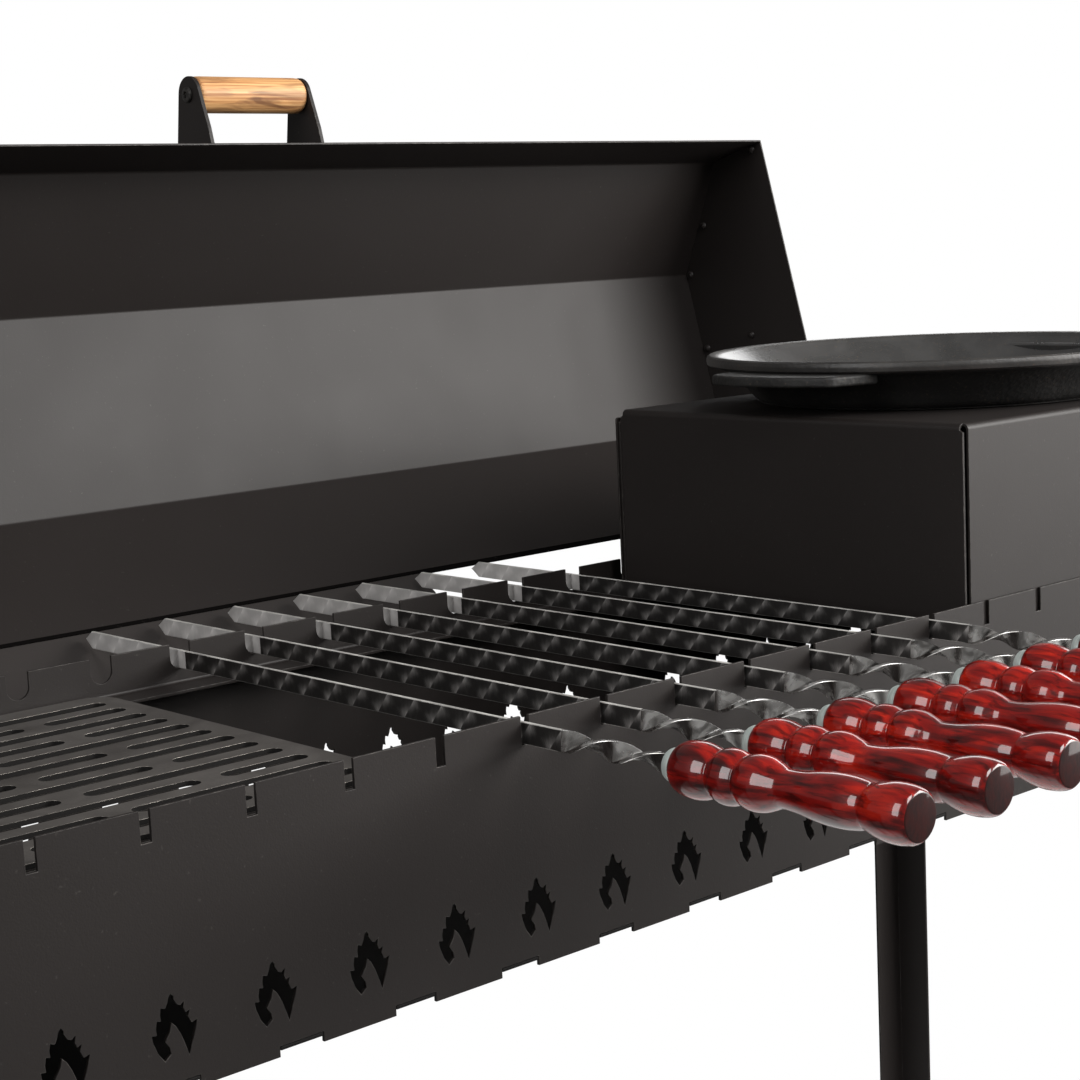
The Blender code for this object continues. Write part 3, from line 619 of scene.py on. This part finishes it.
# near-black, barely glossy copy of the coat: painted shadow for the gap under the lid's lower edge
GAP_SHADOW_COAT = coating("painted_gap_shadow", (0.0015, 0.0012, 0.0011), (0.0025, 0.0021, 0.0020),
                   (0.80, 0.92), 0.04)
GUARD_COAT = coating("guard_coat", (0.0250, 0.0215, 0.0203), (0.0305, 0.0265, 0.0250),
                     (0.44, 0.50), 0.45)
EDGE = worn_edge()
STEEL = [COAT, EDGE]
DARK_METAL = fastener()


# ---- firebox -----------------------------------------------------------------------------
def flame(x):
    """One vent: a ragged flame with hooked licks on both sides and a tongue of metal inside it.

    The points are in millimetres from the middle of the flame's foot.
    """
    right = ((-1.1, 28.9), (0.3, 27.6), (0.2, 26.2), (2.0, 23.4), (3.9, 22.6), (5.9, 23.9), (5.3, 21.0),
             (6.4, 18.6), (8.5, 19.4), (7.6, 16.6), (9.2, 13.4), (12.2, 14.1), (11.2, 10.2), (9.0, 5.0),
             (6.9, -0.2))
    inside = ((5.4, 4.2), (3.4, 9.4), (0.9, 13.9), (-1.5, 16.2), (-2.6, 12.4), (-5.7, 8.4), (-3.4, 5.6),
              (-2.9, 2.4))
    left = ((-6.2, 0.0), (-9.4, 4.0), (-11.8, 9.6), (-12.3, 12.8), (-9.6, 12.4), (-9.9, 15.4),
            (-9.2, 18.6), (-6.9, 18.0), (-7.2, 21.0), (-6.7, 23.8), (-4.3, 23.0), (-2.9, 25.6),
            (-2.3, 27.6))
    return [(x + u / 1000, VENT_BOTTOM + v * VENT_STRETCH / 1000) for u, v in right + inside + left]


def wall_bottom_edge():
    points = [(-LENGTH / 2, WALL_BOTTOM)]
    for i in range(TABS):
        x = (i - (TABS - 1) / 2) * TAB_PITCH
        low, high = x - RECESS_WIDTH / 2, x + RECESS_WIDTH / 2
        points += [(low, WALL_BOTTOM), (low, WALL_BOTTOM + RECESS_HEIGHT),
                   (high, WALL_BOTTOM + RECESS_HEIGHT), (high, WALL_BOTTOM)]
    return points + [(LENGTH / 2, WALL_BOTTOM)]


def long_walls():
    vents = [flame((k - (NOTCHES - 1) / 2) * VENT_PITCH) for k in range(NOTCHES)]
    front = wall_bottom_edge() + [(LENGTH / 2, 0)]
    for k in reversed(range(NOTCHES)):
        x = notch_x(k)
        low, high = x - NOTCH_WIDTH / 2, x + NOTCH_WIDTH / 2
        front += [(high, 0), (high, -NOTCH_DEPTH), (low, -NOTCH_DEPTH), (low, 0)]
    front.append((-LENGTH / 2, 0))
    rear = wall_bottom_edge() + [(LENGTH / 2, REAR_WALL_TOP), (-LENGTH / 2, REAR_WALL_TOP)]
    for name, outline, start in (("front_wall", front, 0), ("rear_wall", rear, DEPTH - SHEET)):
        bm = prism_mesh(outline, vents, "Y", start, start + SHEET)
        bevel_edges(bm, EDGE_BEVEL, edge_slot=1)
        stand_for(new_piece(f"{name}_fine", bm, STEEL, "stand"), name)


def skewer_rest():
    """Folded strip with round-bottomed notches and a rounded fold down to its ledge."""
    low, high = [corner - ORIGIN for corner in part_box("rear_skewer_rest")]
    face = high.y - SHEET
    section = rounded([(low.y, low.z), (high.y, low.z), (high.y, high.z), (face, high.z),
                       (face, low.z + SHEET), (low.y, low.z + SHEET)],
                      (0, REST_FOLD_RADIUS, 0, 0, REST_FOLD_RADIUS - SHEET / 2, 0))
    bm = prism_mesh(section, (), "X", low.x, high.x)
    over_top, over_face = 0.01, 0.004
    cutters = []
    for k in range(NOTCHES):
        x = notch_x(k)
        bottom = -NOTCH_DEPTH + REST_NOTCH_RADIUS
        outline = arc((x, bottom), REST_NOTCH_RADIUS, -180, 0, 20)
        outline += [(x + REST_NOTCH_RADIUS, high.z + over_top), (x - REST_NOTCH_RADIUS, high.z + over_top)]
        cutters.append(prism_mesh(outline, (), "Y", face - over_face, high.y + over_face))
    bm = boolean(bm, merged(cutters), "DIFFERENCE")
    bevel_edges(bm, 0.0003, edge_slot=1)
    stand_for(new_piece("skewer_rest_fine", bm, STEEL, "stand"), "rear_skewer_rest")


def plain_stand_pieces():
    # the floor plate's tabs show in the wall's recesses; their near-black coat is painted shade
    refine("floor_plate", "stand", [DARK_SHADE_COAT])
    refine("rear_guard", "stand", [GUARD_COAT, EDGE])
    for node in ("left_end_wall", "right_end_wall", "front_ledge", "hinge_spacer_left",
                 "hinge_spacer_right", "hinge_bracket_left", "hinge_bracket_right", "leg_front_left",
                 "leg_front_right", "leg_rear_left", "leg_rear_right"):
        refine(node, "stand", STEEL)
    plastic = [foot_plastic()]
    for corner in ("front_left", "front_right", "rear_left", "rear_right"):
        refine(f"foot_{corner}", "stand", plastic, 0.0016, segments=4)
    for side in ("left", "right"):
        refine(f"pivot_bolt_{side}", "stand", [DARK_METAL], 0.0003)
        for number in (1, 2):
            refine(f"bracket_rivet_{side}_{number}", "stand", [DARK_METAL], 0.0003)


# ---- grate -------------------------------------------------------------------------------
def grate():
    """Plate with staggered slots, whose rubbed edges catch the light."""
    low, high = [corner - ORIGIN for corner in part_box("grate")]
    slot_length, slot_width, bridge, margin = 0.122, 0.0115, 0.014, 0.013
    rows, row_pitch, corner_radius, rim = 13, 0.0234, 0.018, 0.001
    first_row = (low.y + high.y) / 2 - (rows - 1) / 2 * row_pitch
    radius = slot_width / 2
    slots = []
    for row in range(rows):
        y = first_row + row * row_pitch
        start = low.x + margin - (row % 2) * (slot_length + bridge) / 2
        while start < high.x - margin:
            left = max(start, low.x + margin)
            right = min(start + slot_length, high.x - margin)
            if right - left > 2 * slot_width:
                slots.append(arc((left + radius, y), radius, 90, 270, 12)
                             + arc((right - radius, y), radius, -90, 90, 12))
            start += slot_length + bridge
    outline = rounded(rectangle(low.x, low.y, high.x, high.y), corner_radius, 10)
    bm = prism_mesh(outline, slots, "Z", low.z, high.z)
    bevel_edges(bm, 0.0004, 3, edge_slot=1)
    # the slot walls take the dark coat: painted shade inside the slots
    for face in bm.faces:
        spot = face.calc_center_median()
        within = low.x + rim < spot.x < high.x - rim and low.y + rim < spot.y < high.y - rim
        if face.material_index == 0 and within and abs(face.normal.z) < 0.5:
            face.material_index = 2
    piece = new_piece("grate_fine", bm, [grate_coat(), grate_edge(), DARK_SHADE_COAT], "grate")
    stand_for(piece, "grate")


# ---- stove box ---------------------------------------------------------------------------
def stove():
    """Box bent from one sheet: rounded bends, a relief at each top corner and open vertical seams."""
    low, high = [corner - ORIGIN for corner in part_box("stove_shell")]
    bend, seam, hole_radius, steps = 0.0042, 0.0016, 0.112, 8
    relief, flare = 0.0015, 0.004
    centre = ((low.x + high.x) / 2, (low.y + high.y) / 2)
    x0, y0, x1, y1 = low.x + bend, low.y + bend, high.x - bend, high.y - bend
    bm = bmesh.new()
    corners = [bm.verts.new((x, y, high.z)) for x, y in ((x0, y0), (x1, y0), (x1, y1), (x0, y1))]
    rim = [bm.verts.new((x, y, high.z)) for x, y in arc(centre, hole_radius, 0, 360, 96)[:-1]]
    sides = [bm.edges.new((a, b)) for a, b in zip(corners, corners[1:] + corners[:1])]
    circle = [bm.edges.new((a, b)) for a, b in zip(rim, rim[1:] + rim[:1])]
    bmesh.ops.triangle_fill(bm, use_beauty=True, use_dissolve=False, edges=sides + circle)
    outward = (Vector((0, -1, 0)), Vector((1, 0, 0)), Vector((0, 1, 0)), Vector((-1, 0, 0)))
    for out, a, b in zip(outward, corners, corners[1:] + corners[:1]):
        along = (b.co - a.co).normalized()
        row = (a, b)
        for step in range(1, steps + 1):
            angle = pi / 2 * step / steps
            move = out * (bend * sin(angle)) - Vector((0, 0, bend * (1 - cos(angle))))
            row = bend_row(bm, row, a.co + move, b.co + move)
        widen = bend - seam if out.y == 0 else 0.0
        reach = bend + seam / 2 if out.y > 0 else 0.0
        top = high.z - bend - relief
        down = [(Vector((p.co.x, p.co.y, top)) + out * bend) for p in (a, b)]
        row = bend_row(bm, row, down[0] - along * widen, down[1] + along * widen)
        if reach:
            spread = [p - Vector((0, 0, flare)) for p in down]
            row = bend_row(bm, row, spread[0] - along * reach, spread[1] + along * reach)
        end = [Vector((p.co.x, p.co.y, low.z)) for p in row]
        bend_row(bm, row, end[0], end[1])
    bmesh.ops.recalc_face_normals(bm, faces=bm.faces)
    if sum(f.normal.z * f.calc_area() for f in bm.faces) < 0:
        bmesh.ops.reverse_faces(bm, faces=bm.faces)
    solid = thickened(bm, SHEET)
    bevel_edges(solid, EDGE_BEVEL, edge_slot=1, angle=50)
    stand_for(new_piece("stove_shell_fine", solid, STEEL, "stove", 30), "stove_shell")
    # a narrow panel stands behind the box and shows beside its rear corner
    back = rounded(rectangle(low.x - 0.002, low.z, high.x - 0.004, high.z - 0.006), 0.0015)
    panel = prism_mesh(back, (), "Y", high.y + GAP, high.y + GAP + LID_SHEET)
    bevel_edges(panel, 0.0003, edge_slot=1)
    new_piece("stove_back_panel", panel, STEEL, "stove")


def bend_row(bm, row, first, second):
    """Adds one strip to a bent flap and returns its new edge."""
    made = bm.verts.new(first), bm.verts.new(second)
    bm.faces.new((row[0], row[1], made[1], made[0]))
    return made


def thickened(bm, thickness):
    """Closed sheet solid from an open surface, grown inward."""
    thing = mesh_object("surface", bm)
    modifier = thing.modifiers.new("sheet", "SOLIDIFY")
    modifier.thickness = thickness
    modifier.offset = -1
    modifier.use_even_offset = True
    return applied(thing)


# ---- pan ---------------------------------------------------------------------------------
def pan():
    """Cast pan with a thick lip, a smooth bowl and two flat ears."""
    stove_low, stove_high = [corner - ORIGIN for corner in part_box("stove_shell")]
    low, high = [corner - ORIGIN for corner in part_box("pan")]
    centre_x, centre_y = (stove_low.x + stove_high.x) / 2, (stove_low.y + stove_high.y) / 2
    height = high.z - low.z
    rim = (high.y - low.y) / 2
    bottom = low.z
    ear_bottom, ear_top = 0.0212, 0.0285
    lip_radius, lip_bottom, bowl_radius, base = 0.1635, 0.0290, 0.1640, 0.003

    def put(u, v, z):
        wobble = 1 + 0.0012 * sin(5 * atan2(v, u) + 0.6) + 0.0007 * sin(11 * atan2(v, u))
        return Vector((centre_x + u * wobble, centre_y + v * wobble, bottom + z))

    outside = smooth_curve(((0.0, 0.0), (0.122, 0.0), (0.131, 0.0014), (0.137, 0.0045), (0.146, 0.0150),
                            (0.156, 0.0245), (0.1625, 0.0275), (0.1685, 0.0282)), 4)
    lip = [(rim - 0.0022, 0.0288), (rim - 0.0006, 0.0302), (rim - 0.0001, 0.0325),
           (rim - 0.0001, height - 0.0030), (rim - 0.0008, height - 0.0011),
           (rim - 0.0024, height - 0.0001), (0.1660, height - 0.0004), (0.1640, height - 0.0016)]
    inside = smooth_curve(((0.1625, 0.0335), (0.1570, 0.0290), (0.1450, 0.0185), (0.1340, 0.0090),
                           (0.1270, 0.0055), (0.118, 0.0045), (0.0, 0.0045)), 5)
    bm = turned_mesh(outside + lip + inside, 128, put)
    for side in (-1, 1):
        ear = rounded([(side * u, v) for u, v in ((0.150, -0.066), (0.160, -0.063), (0.189, -0.055),
                                                  (0.1995, -0.022), (0.1995, 0.022), (0.189, 0.055),
                                                  (0.160, 0.063), (0.150, 0.066))],
                      (0, 0.030, 0.010, 0.060, 0.060, 0.010, 0.030, 0), 6)
        flat = prism_mesh([(centre_x + u, centre_y + v) for u, v in ear], (), "Z",
                          bottom + ear_bottom, bottom + ear_top)
        bevel_edges(flat, 0.0020, 4)
        bm = boolean(bm, flat, "UNION")
    for face in bm.faces:
        spot = face.calc_center_median()
        radius = hypot(spot.x - centre_x, spot.y - centre_y)
        tall = spot.z - bottom
        on_lip = lip_radius < radius < rim + 0.001 and tall > lip_bottom
        in_bowl = radius < bowl_radius and face.normal.z > 0.05 and tall > base
        face.material_index = 2 if on_lip else 1 if in_bowl else 0
    materials = [cast_iron("cast_iron_outside", (0.006, 0.0057, 0.0055), (0.013, 0.012, 0.011),
                           0.55, (0.55, 0.75)),
                 cast_iron("cast_iron_bowl", (0.030, 0.0295, 0.029), (0.050, 0.049, 0.048),
                           0.10, (0.22, 0.33), 1.0),
                 cast_iron("cast_iron_lip", (0.022, 0.021, 0.0205), (0.048, 0.045, 0.042),
                           0.28, (0.36, 0.55))]
    stand_for(new_piece("pan_fine", bm, materials, "pan", 35), "pan")


# ---- skewers -----------------------------------------------------------------------------
def blade_section(half_width, half_height, angle, x, y):
    """One ring of the blade: a rounded rectangle turned about the blade's axis."""
    radius = min(half_width, half_height) * 0.55
    outline = rounded(rectangle(-half_width, -half_height, half_width, half_height), radius, 3)
    across, up = cos(angle), sin(angle)
    return [Vector((x + u * across - v * up, y, BLADE_AXIS + u * up + v * across)) for u, v in outline]


def twist(past_wall):
    """Angle of the blade where it is past_wall in front of the firebox; it turns at a steady rate."""
    start, rate = -TWIST_START, pi / TWIST_HALF_TURN
    if past_wall < start:
        return 0.0
    if past_wall < start + TWIST_EASE:
        return -rate * (past_wall - start) ** 2 / (2 * TWIST_EASE)
    return -rate * (past_wall - start - TWIST_EASE / 2)


def skewer_blade(x):
    """Flat blade with a point, then a smooth twist that ends in the ferrule."""
    half_w, half_h = BLADE_HALF_WIDTH, BLADE_HALF_HEIGHT
    shoulder, tang_end = 0.0027, 0.055
    flat_steps, twist_steps = 12, 96
    rings = [blade_section(half_w * 0.35, 0.0003, 0, x, TIP_Y)]
    for share in (0.15, 0.35, 0.6, 0.85, 1.0):
        width = half_w * min(1, 0.45 + share * 0.6)
        rings.append(blade_section(width, half_h * share, 0, x, TIP_Y - TIP_LENGTH * share))
    length = TIP_Y - TIP_LENGTH - TWIST_START
    for i in range(1, flat_steps + 1):
        rings.append(blade_section(half_w, half_h, 0, x, TIP_Y - TIP_LENGTH - length * i / flat_steps))
    for i in range(1, twist_steps + 1):
        share = i / twist_steps
        y = TWIST_START + (TWIST_END - TWIST_START) * share
        rings.append(blade_section(half_w, half_h * (1 - 0.18 * share ** 3), twist(-y), x, y))
    last = twist(-TWIST_END)
    for share in (0.2, 0.4, 0.6, 0.8, 1.0):
        y = TWIST_END - shoulder * share
        width = half_w + (TANG_HALF - half_w) * share
        height = half_h * 0.82 + (TANG_HALF - half_h * 0.82) * sin(share * pi / 2) ** 2
        rings.append(blade_section(width, height, last, x, y))
    rings.append(blade_section(TANG_HALF, TANG_HALF, last, x, FERRULE_Y - tang_end))
    bm = ring_mesh(rings)
    for face in bm.faces:
        centre = face.calc_center_median()
        if centre.y < TWIST_START - 0.004:
            face.material_index = 1
        # the narrow top and bottom faces take the pale steel: a painted highlight along the edges
        elif abs(face.normal.z) > 0.7:
            face.material_index = 2
        # the rear tips take the paler steel: painted light falling on them from behind
        elif centre.y > DEPTH - LIT_TIP_LENGTH:
            face.material_index = 3
    return bm


def handle_curve():
    """Radius and distance from the ferrule: three beads, a long swell and a flared end.

    The points are in millimetres.
    """
    points = ((8.6, 0.0), (11.6, 1.8), (13.6, 6.0), (14.5, 13.0), (13.9, 19.0), (12.3, 24.2),
              (11.4, 26.3), (12.5, 28.2), (13.7, 31.2), (14.0, 34.6), (13.5, 38.4), (12.2, 42.0),
              (11.7, 43.5), (12.7, 45.6), (13.6, 49.0), (13.9, 53.0), (13.2, 58.0), (11.4, 63.0),
              (9.9, 67.2), (9.6, 71.0), (10.3, 79.0), (11.8, 89.0), (12.6, 98.0), (12.5, 107.0),
              (11.6, 114.0), (10.8, 118.0), (11.3, 120.0), (12.8, 125.0), (13.9, 131.0),
              (14.1, 136.0), (13.6, 141.0), (12.6, 144.2), (11.4, 145.5))
    return [(r / 1000, d / 1000) for r, d in smooth_curve(points, 4)]


def skewers():
    blade_materials = [engine_turned("engine_turned_steel", 1.0, (0.15, 0.235, 0.52, 0.78)),
                       bright_steel(), blade_edge(),
                       # paler, less metallic copy for the rear tips: painted light
                       engine_turned("tip_steel_painted_light", 0.15, (0.42, 0.48, 0.56, 0.66))]
    end_grain = end_grain_lacquer()
    pale = ferrule_metal()
    profile = handle_curve()
    length = profile[-1][1]
    profile += [(0.0106, length + 0.0004), (0.0, length + 0.0004)]
    bore, bore_end = 0.0032, 0.058
    inner = [(0.0, bore_end), (bore, bore_end), (bore, 0.0)]
    collar = [(bore, -0.006), (0.0066, -0.006), (0.0080, -0.0055), (0.0086, -0.0042),
              (0.0087, -0.0018), (0.0085, -GAP), (bore, -GAP)]
    for number in range(1, SKEWERS + 1):
        x = notch_x(FIRST_SKEWER + number - 1)
        body = f"skewer_{number}"
        wood = lacquered_wood(number)

        def put(u, v, distance, x=x):
            return Vector((x + u, FERRULE_Y - distance, BLADE_AXIS + v))

        blade = new_piece(f"{body}_blade_fine", skewer_blade(x), blade_materials, body, 50)
        stand_for(blade, f"{body}_blade")
        ring = new_piece(f"{body}_ferrule_fine", turned_mesh(collar, 48, put), [pale], body)
        stand_for(ring, f"{body}_ferrule")
        bm = turned_mesh(inner + profile, 56, put)
        for face in bm.faces:
            if face.calc_center_median().y < FERRULE_Y - length - 0.0001:
                face.material_index = 1
        handle = new_piece(f"{body}_handle_fine", bm, [wood, end_grain], body, 50)
        stand_for(handle, f"{body}_handle")


# ---- lid ---------------------------------------------------------------------------------
def lid():
    """Shell of five facets with a hem along its lower edge painted near-black as the shadow in the gap
    beneath it, two end plates and their screws.
    """
    low, high = [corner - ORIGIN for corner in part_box("lid_shell")]
    fold, edge = Vector(LID_SECTION[-2]), Vector(LID_SECTION[-1])
    hem = tuple(edge + (edge - fold).normalized() * LID_HEM)
    inner = rounded([*LID_SECTION[:-1], hem], LID_FOLD_RADIUS, 6, closed=False)
    outline = inner + offset_line(inner, LID_SHEET)[::-1]
    bm = prism_mesh([opened(*p) for p in outline], (), "X", low.x, high.x)
    bevel_edges(bm, EDGE_BEVEL, edge_slot=1, angle=50)
    shadow_strip_top = min(vert.co.z for vert in bm.verts) + LID_HEM + SHADOW_STRIP_REACH
    bmesh.ops.bisect_plane(bm, geom=[*bm.verts, *bm.edges, *bm.faces], plane_co=(0, 0, shadow_strip_top),
                           plane_no=(0, 0, 1))
    # the hem's faces below this height take the painted gap shadow
    for face in bm.faces:
        if face.calc_center_median().z < shadow_strip_top:
            face.material_index = 2
    shell = new_piece("lid_shell_fine", bm, STEEL + [GAP_SHADOW_COAT], "lid", 30)
    stand_for(shell, "lid_shell")
    for side, sign in (("left", -1), ("right", 1)):
        refine(f"lid_end_{side}", "lid", STEEL)
        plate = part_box(f"lid_end_{side}")[0 if sign > 0 else 1].x
        profile = [(radius, plate - sign * rise) for radius, rise in SCREW_HEAD]
        heads = [turned_mesh(profile, 20, lambda u, v, x, y=y, z=z: Vector((x, y + u, z + v)))
                 for y, z in LID_SCREWS]
        piece = new_piece(f"lid_screw_heads_{side}", merged(heads), [COAT], "lid")


def lid_handle():
    """Two flat brackets with a wooden grip bolted between them."""
    base = -(LID_SHEET + GAP)
    middle, axis, radius, bore, bolt_radius = 0.010, (base - 0.0437, 0.0205), 0.0135, 0.0033, 0.003
    ear = arc(axis, radius, 114, 265, 28)
    web = rounded([ear[-1], (base - 0.013, 0.0043), (base, 0.0045)], (0, 0.012, 0), 6, closed=False)
    outline = [(base, 0.0045), (base, 0.0545), *ear, *web[1:-1]]
    hole = [opened(*p) for p in arc(axis, bore, 0, 360, 24)[:-1]]
    centre = opened(*axis)

    def put(u, v, x):
        return Vector((middle + x, centre[0] + u, centre[1] + v))

    for side, sign in (("left", -1), ("right", 1)):
        low, high = [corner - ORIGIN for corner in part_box(f"handle_bracket_{side}")]
        bm = prism_mesh([opened(*p) for p in outline], [hole], "X", low.x, high.x)
        bevel_edges(bm, 0.0004, edge_slot=1, angle=35)
        piece = new_piece(f"handle_bracket_{side}_fine", bm, STEEL, "lid")
        stand_for(piece, f"handle_bracket_{side}")
        outer = (high.x if sign > 0 else low.x) - middle
        inner = sign * 0.023
        head = ((bolt_radius, GAP), (0.0056, GAP), (0.0058, 0.0012), (0.0052, 0.0022), (0.0040, 0.0028),
                (0.0026, 0.0029), (0.0022, 0.0022), (0.0020, 0.0012), (0, 0.0010))
        profile = [(0, inner), (bolt_radius, inner)]
        profile += [(r, outer + sign * rise) for r, rise in head]
        mesh = turned_mesh(profile, 32, put)
        bolt = new_piece(f"grip_bolt_{side}_fine", mesh, [DARK_METAL], "lid", 30)
        stand_for(bolt, f"grip_bolt_{side}")
    half, bore_end, easing, steps = 0.048, 0.022, 0.005, 16
    shoulder = ((0.0112, 0), (0.0124, 0.0006), (0.0133, 0.0022))
    profile = [(0, -bore_end), (bore, -bore_end), (bore, -half)]
    profile += [(r, inset - half) for r, inset in shoulder]
    profile += [(radius, -half + easing + (2 * half - 2 * easing) * i / steps) for i in range(steps + 1)]
    profile += [(r, half - inset) for r, inset in reversed(shoulder)]
    profile += [(bore, half), (bore, bore_end), (0, bore_end)]
    bm = turned_mesh(profile, 64, put)
    flat = half - shoulder[-1][1]
    for face in bm.faces:
        face.material_index = 1 if abs(face.calc_center_median().x - middle) > flat else 0
    pine = [singed_pine("singed_pine", 0.0), singed_pine("singed_pine_end", 0.22)]
    stand_for(new_piece("handle_grip_fine", bm, pine, "lid", 50), "handle_grip")


# ---- stage, light and camera -------------------------------------------------------------
def floor():
    """Pale floor that fades into the white background within a metre of the frame's origin."""
    bm = bmesh.new()
    bmesh.ops.create_circle(bm, cap_ends=True, segments=96, radius=40)
    ground = mesh_object("floor", bm)
    n = Nodes("pale_floor")
    n.set(Roughness=0.9, Specular_IOR_Level=0.1)
    n.shader.inputs["Base Color"].default_value = (0.82, 0.82, 0.82, 1)
    x, y, _ = n.split()
    distance = n.math("SQRT", n.math("ADD", n.math("MULTIPLY", x, x), n.math("MULTIPLY", y, y)))
    fade = n.ramp(distance, ((0.66, 0.0), (1.0, 1.0)))
    glow = n.tree.nodes.new("ShaderNodeEmission")
    path = n.tree.nodes.new("ShaderNodeLightPath")
    n.link(n.math("MULTIPLY_ADD", path.outputs["Is Camera Ray"], 0.85, 0.15), glow.inputs["Strength"])
    blend = n.tree.nodes.new("ShaderNodeMixShader")
    n.link(fade, blend.inputs["Fac"])
    n.link(n.shader.outputs["BSDF"], blend.inputs[1])
    n.link(glow.outputs["Emission"], blend.inputs[2])
    n.link(blend.outputs["Shader"], n.tree.nodes["Material Output"].inputs["Surface"])
    ground.data.materials.append(n.material)


def surroundings():
    """White to the camera; a dimmer white for what the surfaces reflect."""
    world = bpy.data.worlds.new("studio")
    world.use_nodes = True
    bpy.context.scene.world = world
    tree = world.node_tree
    seen = tree.nodes["Background"]
    seen.inputs["Color"].default_value = (1, 1, 1, 1)
    seen.inputs["Strength"].default_value = 1.0
    ambient = tree.nodes.new("ShaderNodeBackground")
    ambient.inputs["Color"].default_value = (1.0, 0.985, 0.97, 1)
    ambient.inputs["Strength"].default_value = 0.15
    path = tree.nodes.new("ShaderNodeLightPath")
    blend = tree.nodes.new("ShaderNodeMixShader")
    tree.links.new(path.outputs["Is Camera Ray"], blend.inputs["Fac"])
    tree.links.new(ambient.outputs["Background"], blend.inputs[1])
    tree.links.new(seen.outputs["Background"], blend.inputs[2])
    tree.links.new(blend.outputs["Shader"], tree.nodes["World Output"].inputs["Surface"])


def softbox(name, location, target, size, energy, colour):
    data = bpy.data.lights.new(name, "AREA")
    data.shape = "RECTANGLE"
    data.size, data.size_y = size
    data.energy = energy
    data.color = colour
    lamp = add_object(name, data)
    lamp.location = location
    lamp.rotation_euler = (Vector(target) - Vector(location)).to_track_quat("-Z", "Y").to_euler()
    lamp.visible_camera = False


def lights():
    white, warm = (1, 1, 1), (1.0, 0.98, 0.955)
    handles = place(0.05, -0.19, 0)
    softbox("key_softbox", handles + Vector((-0.09, -1.48, 1.63)), handles, (0.9, 1.2), 33, white)
    middle = place(-0.05, 0.57, 0.2)
    softbox("lid_softbox", middle + Vector((1.6, -2.05, 0.75)), middle, (1.6, 1.2), 86, warm)
    stove_front = place(0.4, 0, 0.05)
    softbox("right_softbox", stove_front + Vector((1.8, -1.25, -0.08)), stove_front, (1.2, 1.0), 12,
            warm)
    softbox("left_softbox", place(-2.2, 0.1, 1.1), place(-0.1, 0.15, 0), (0.95, 1.8), 27, white)
    rim = place(0.37, 0.16, 0.15)
    softbox("back_softbox", rim + Vector((2.12, 1.08, 0.50)), rim, (2.8, 1.5), 42, white)


def camera():
    """The photographer's place: left of the grill, in front of it and a little above its rim."""
    data = bpy.data.cameras.new("camera")
    data.lens = 69.77
    data.sensor_width = 36
    viewer = add_object("camera", data)
    yaw, pitch, roll = radians(41.7592), radians(-8.1926), radians(-2.6899)
    forward = Vector((sin(yaw) * cos(pitch), cos(yaw) * cos(pitch), sin(pitch)))
    level = Vector((cos(yaw), -sin(yaw), 0))
    upright = level.cross(forward)
    right = level * cos(roll) + upright * sin(roll)
    up = upright * cos(roll) - level * sin(roll)
    turn = Matrix((right, up, -forward)).transposed()
    viewer.matrix_world = Matrix.Translation(place(-0.91301, -0.81392, 0.24849)) @ turn.to_4x4()
    bpy.context.scene.camera = viewer


camera()
surroundings()
lights()
floor()
long_walls()
skewer_rest()
plain_stand_pieces()
grate()
stove()
pan()
skewers()
lid()
lid_handle()
bpy.context.scene.view_settings.view_transform = "Standard"
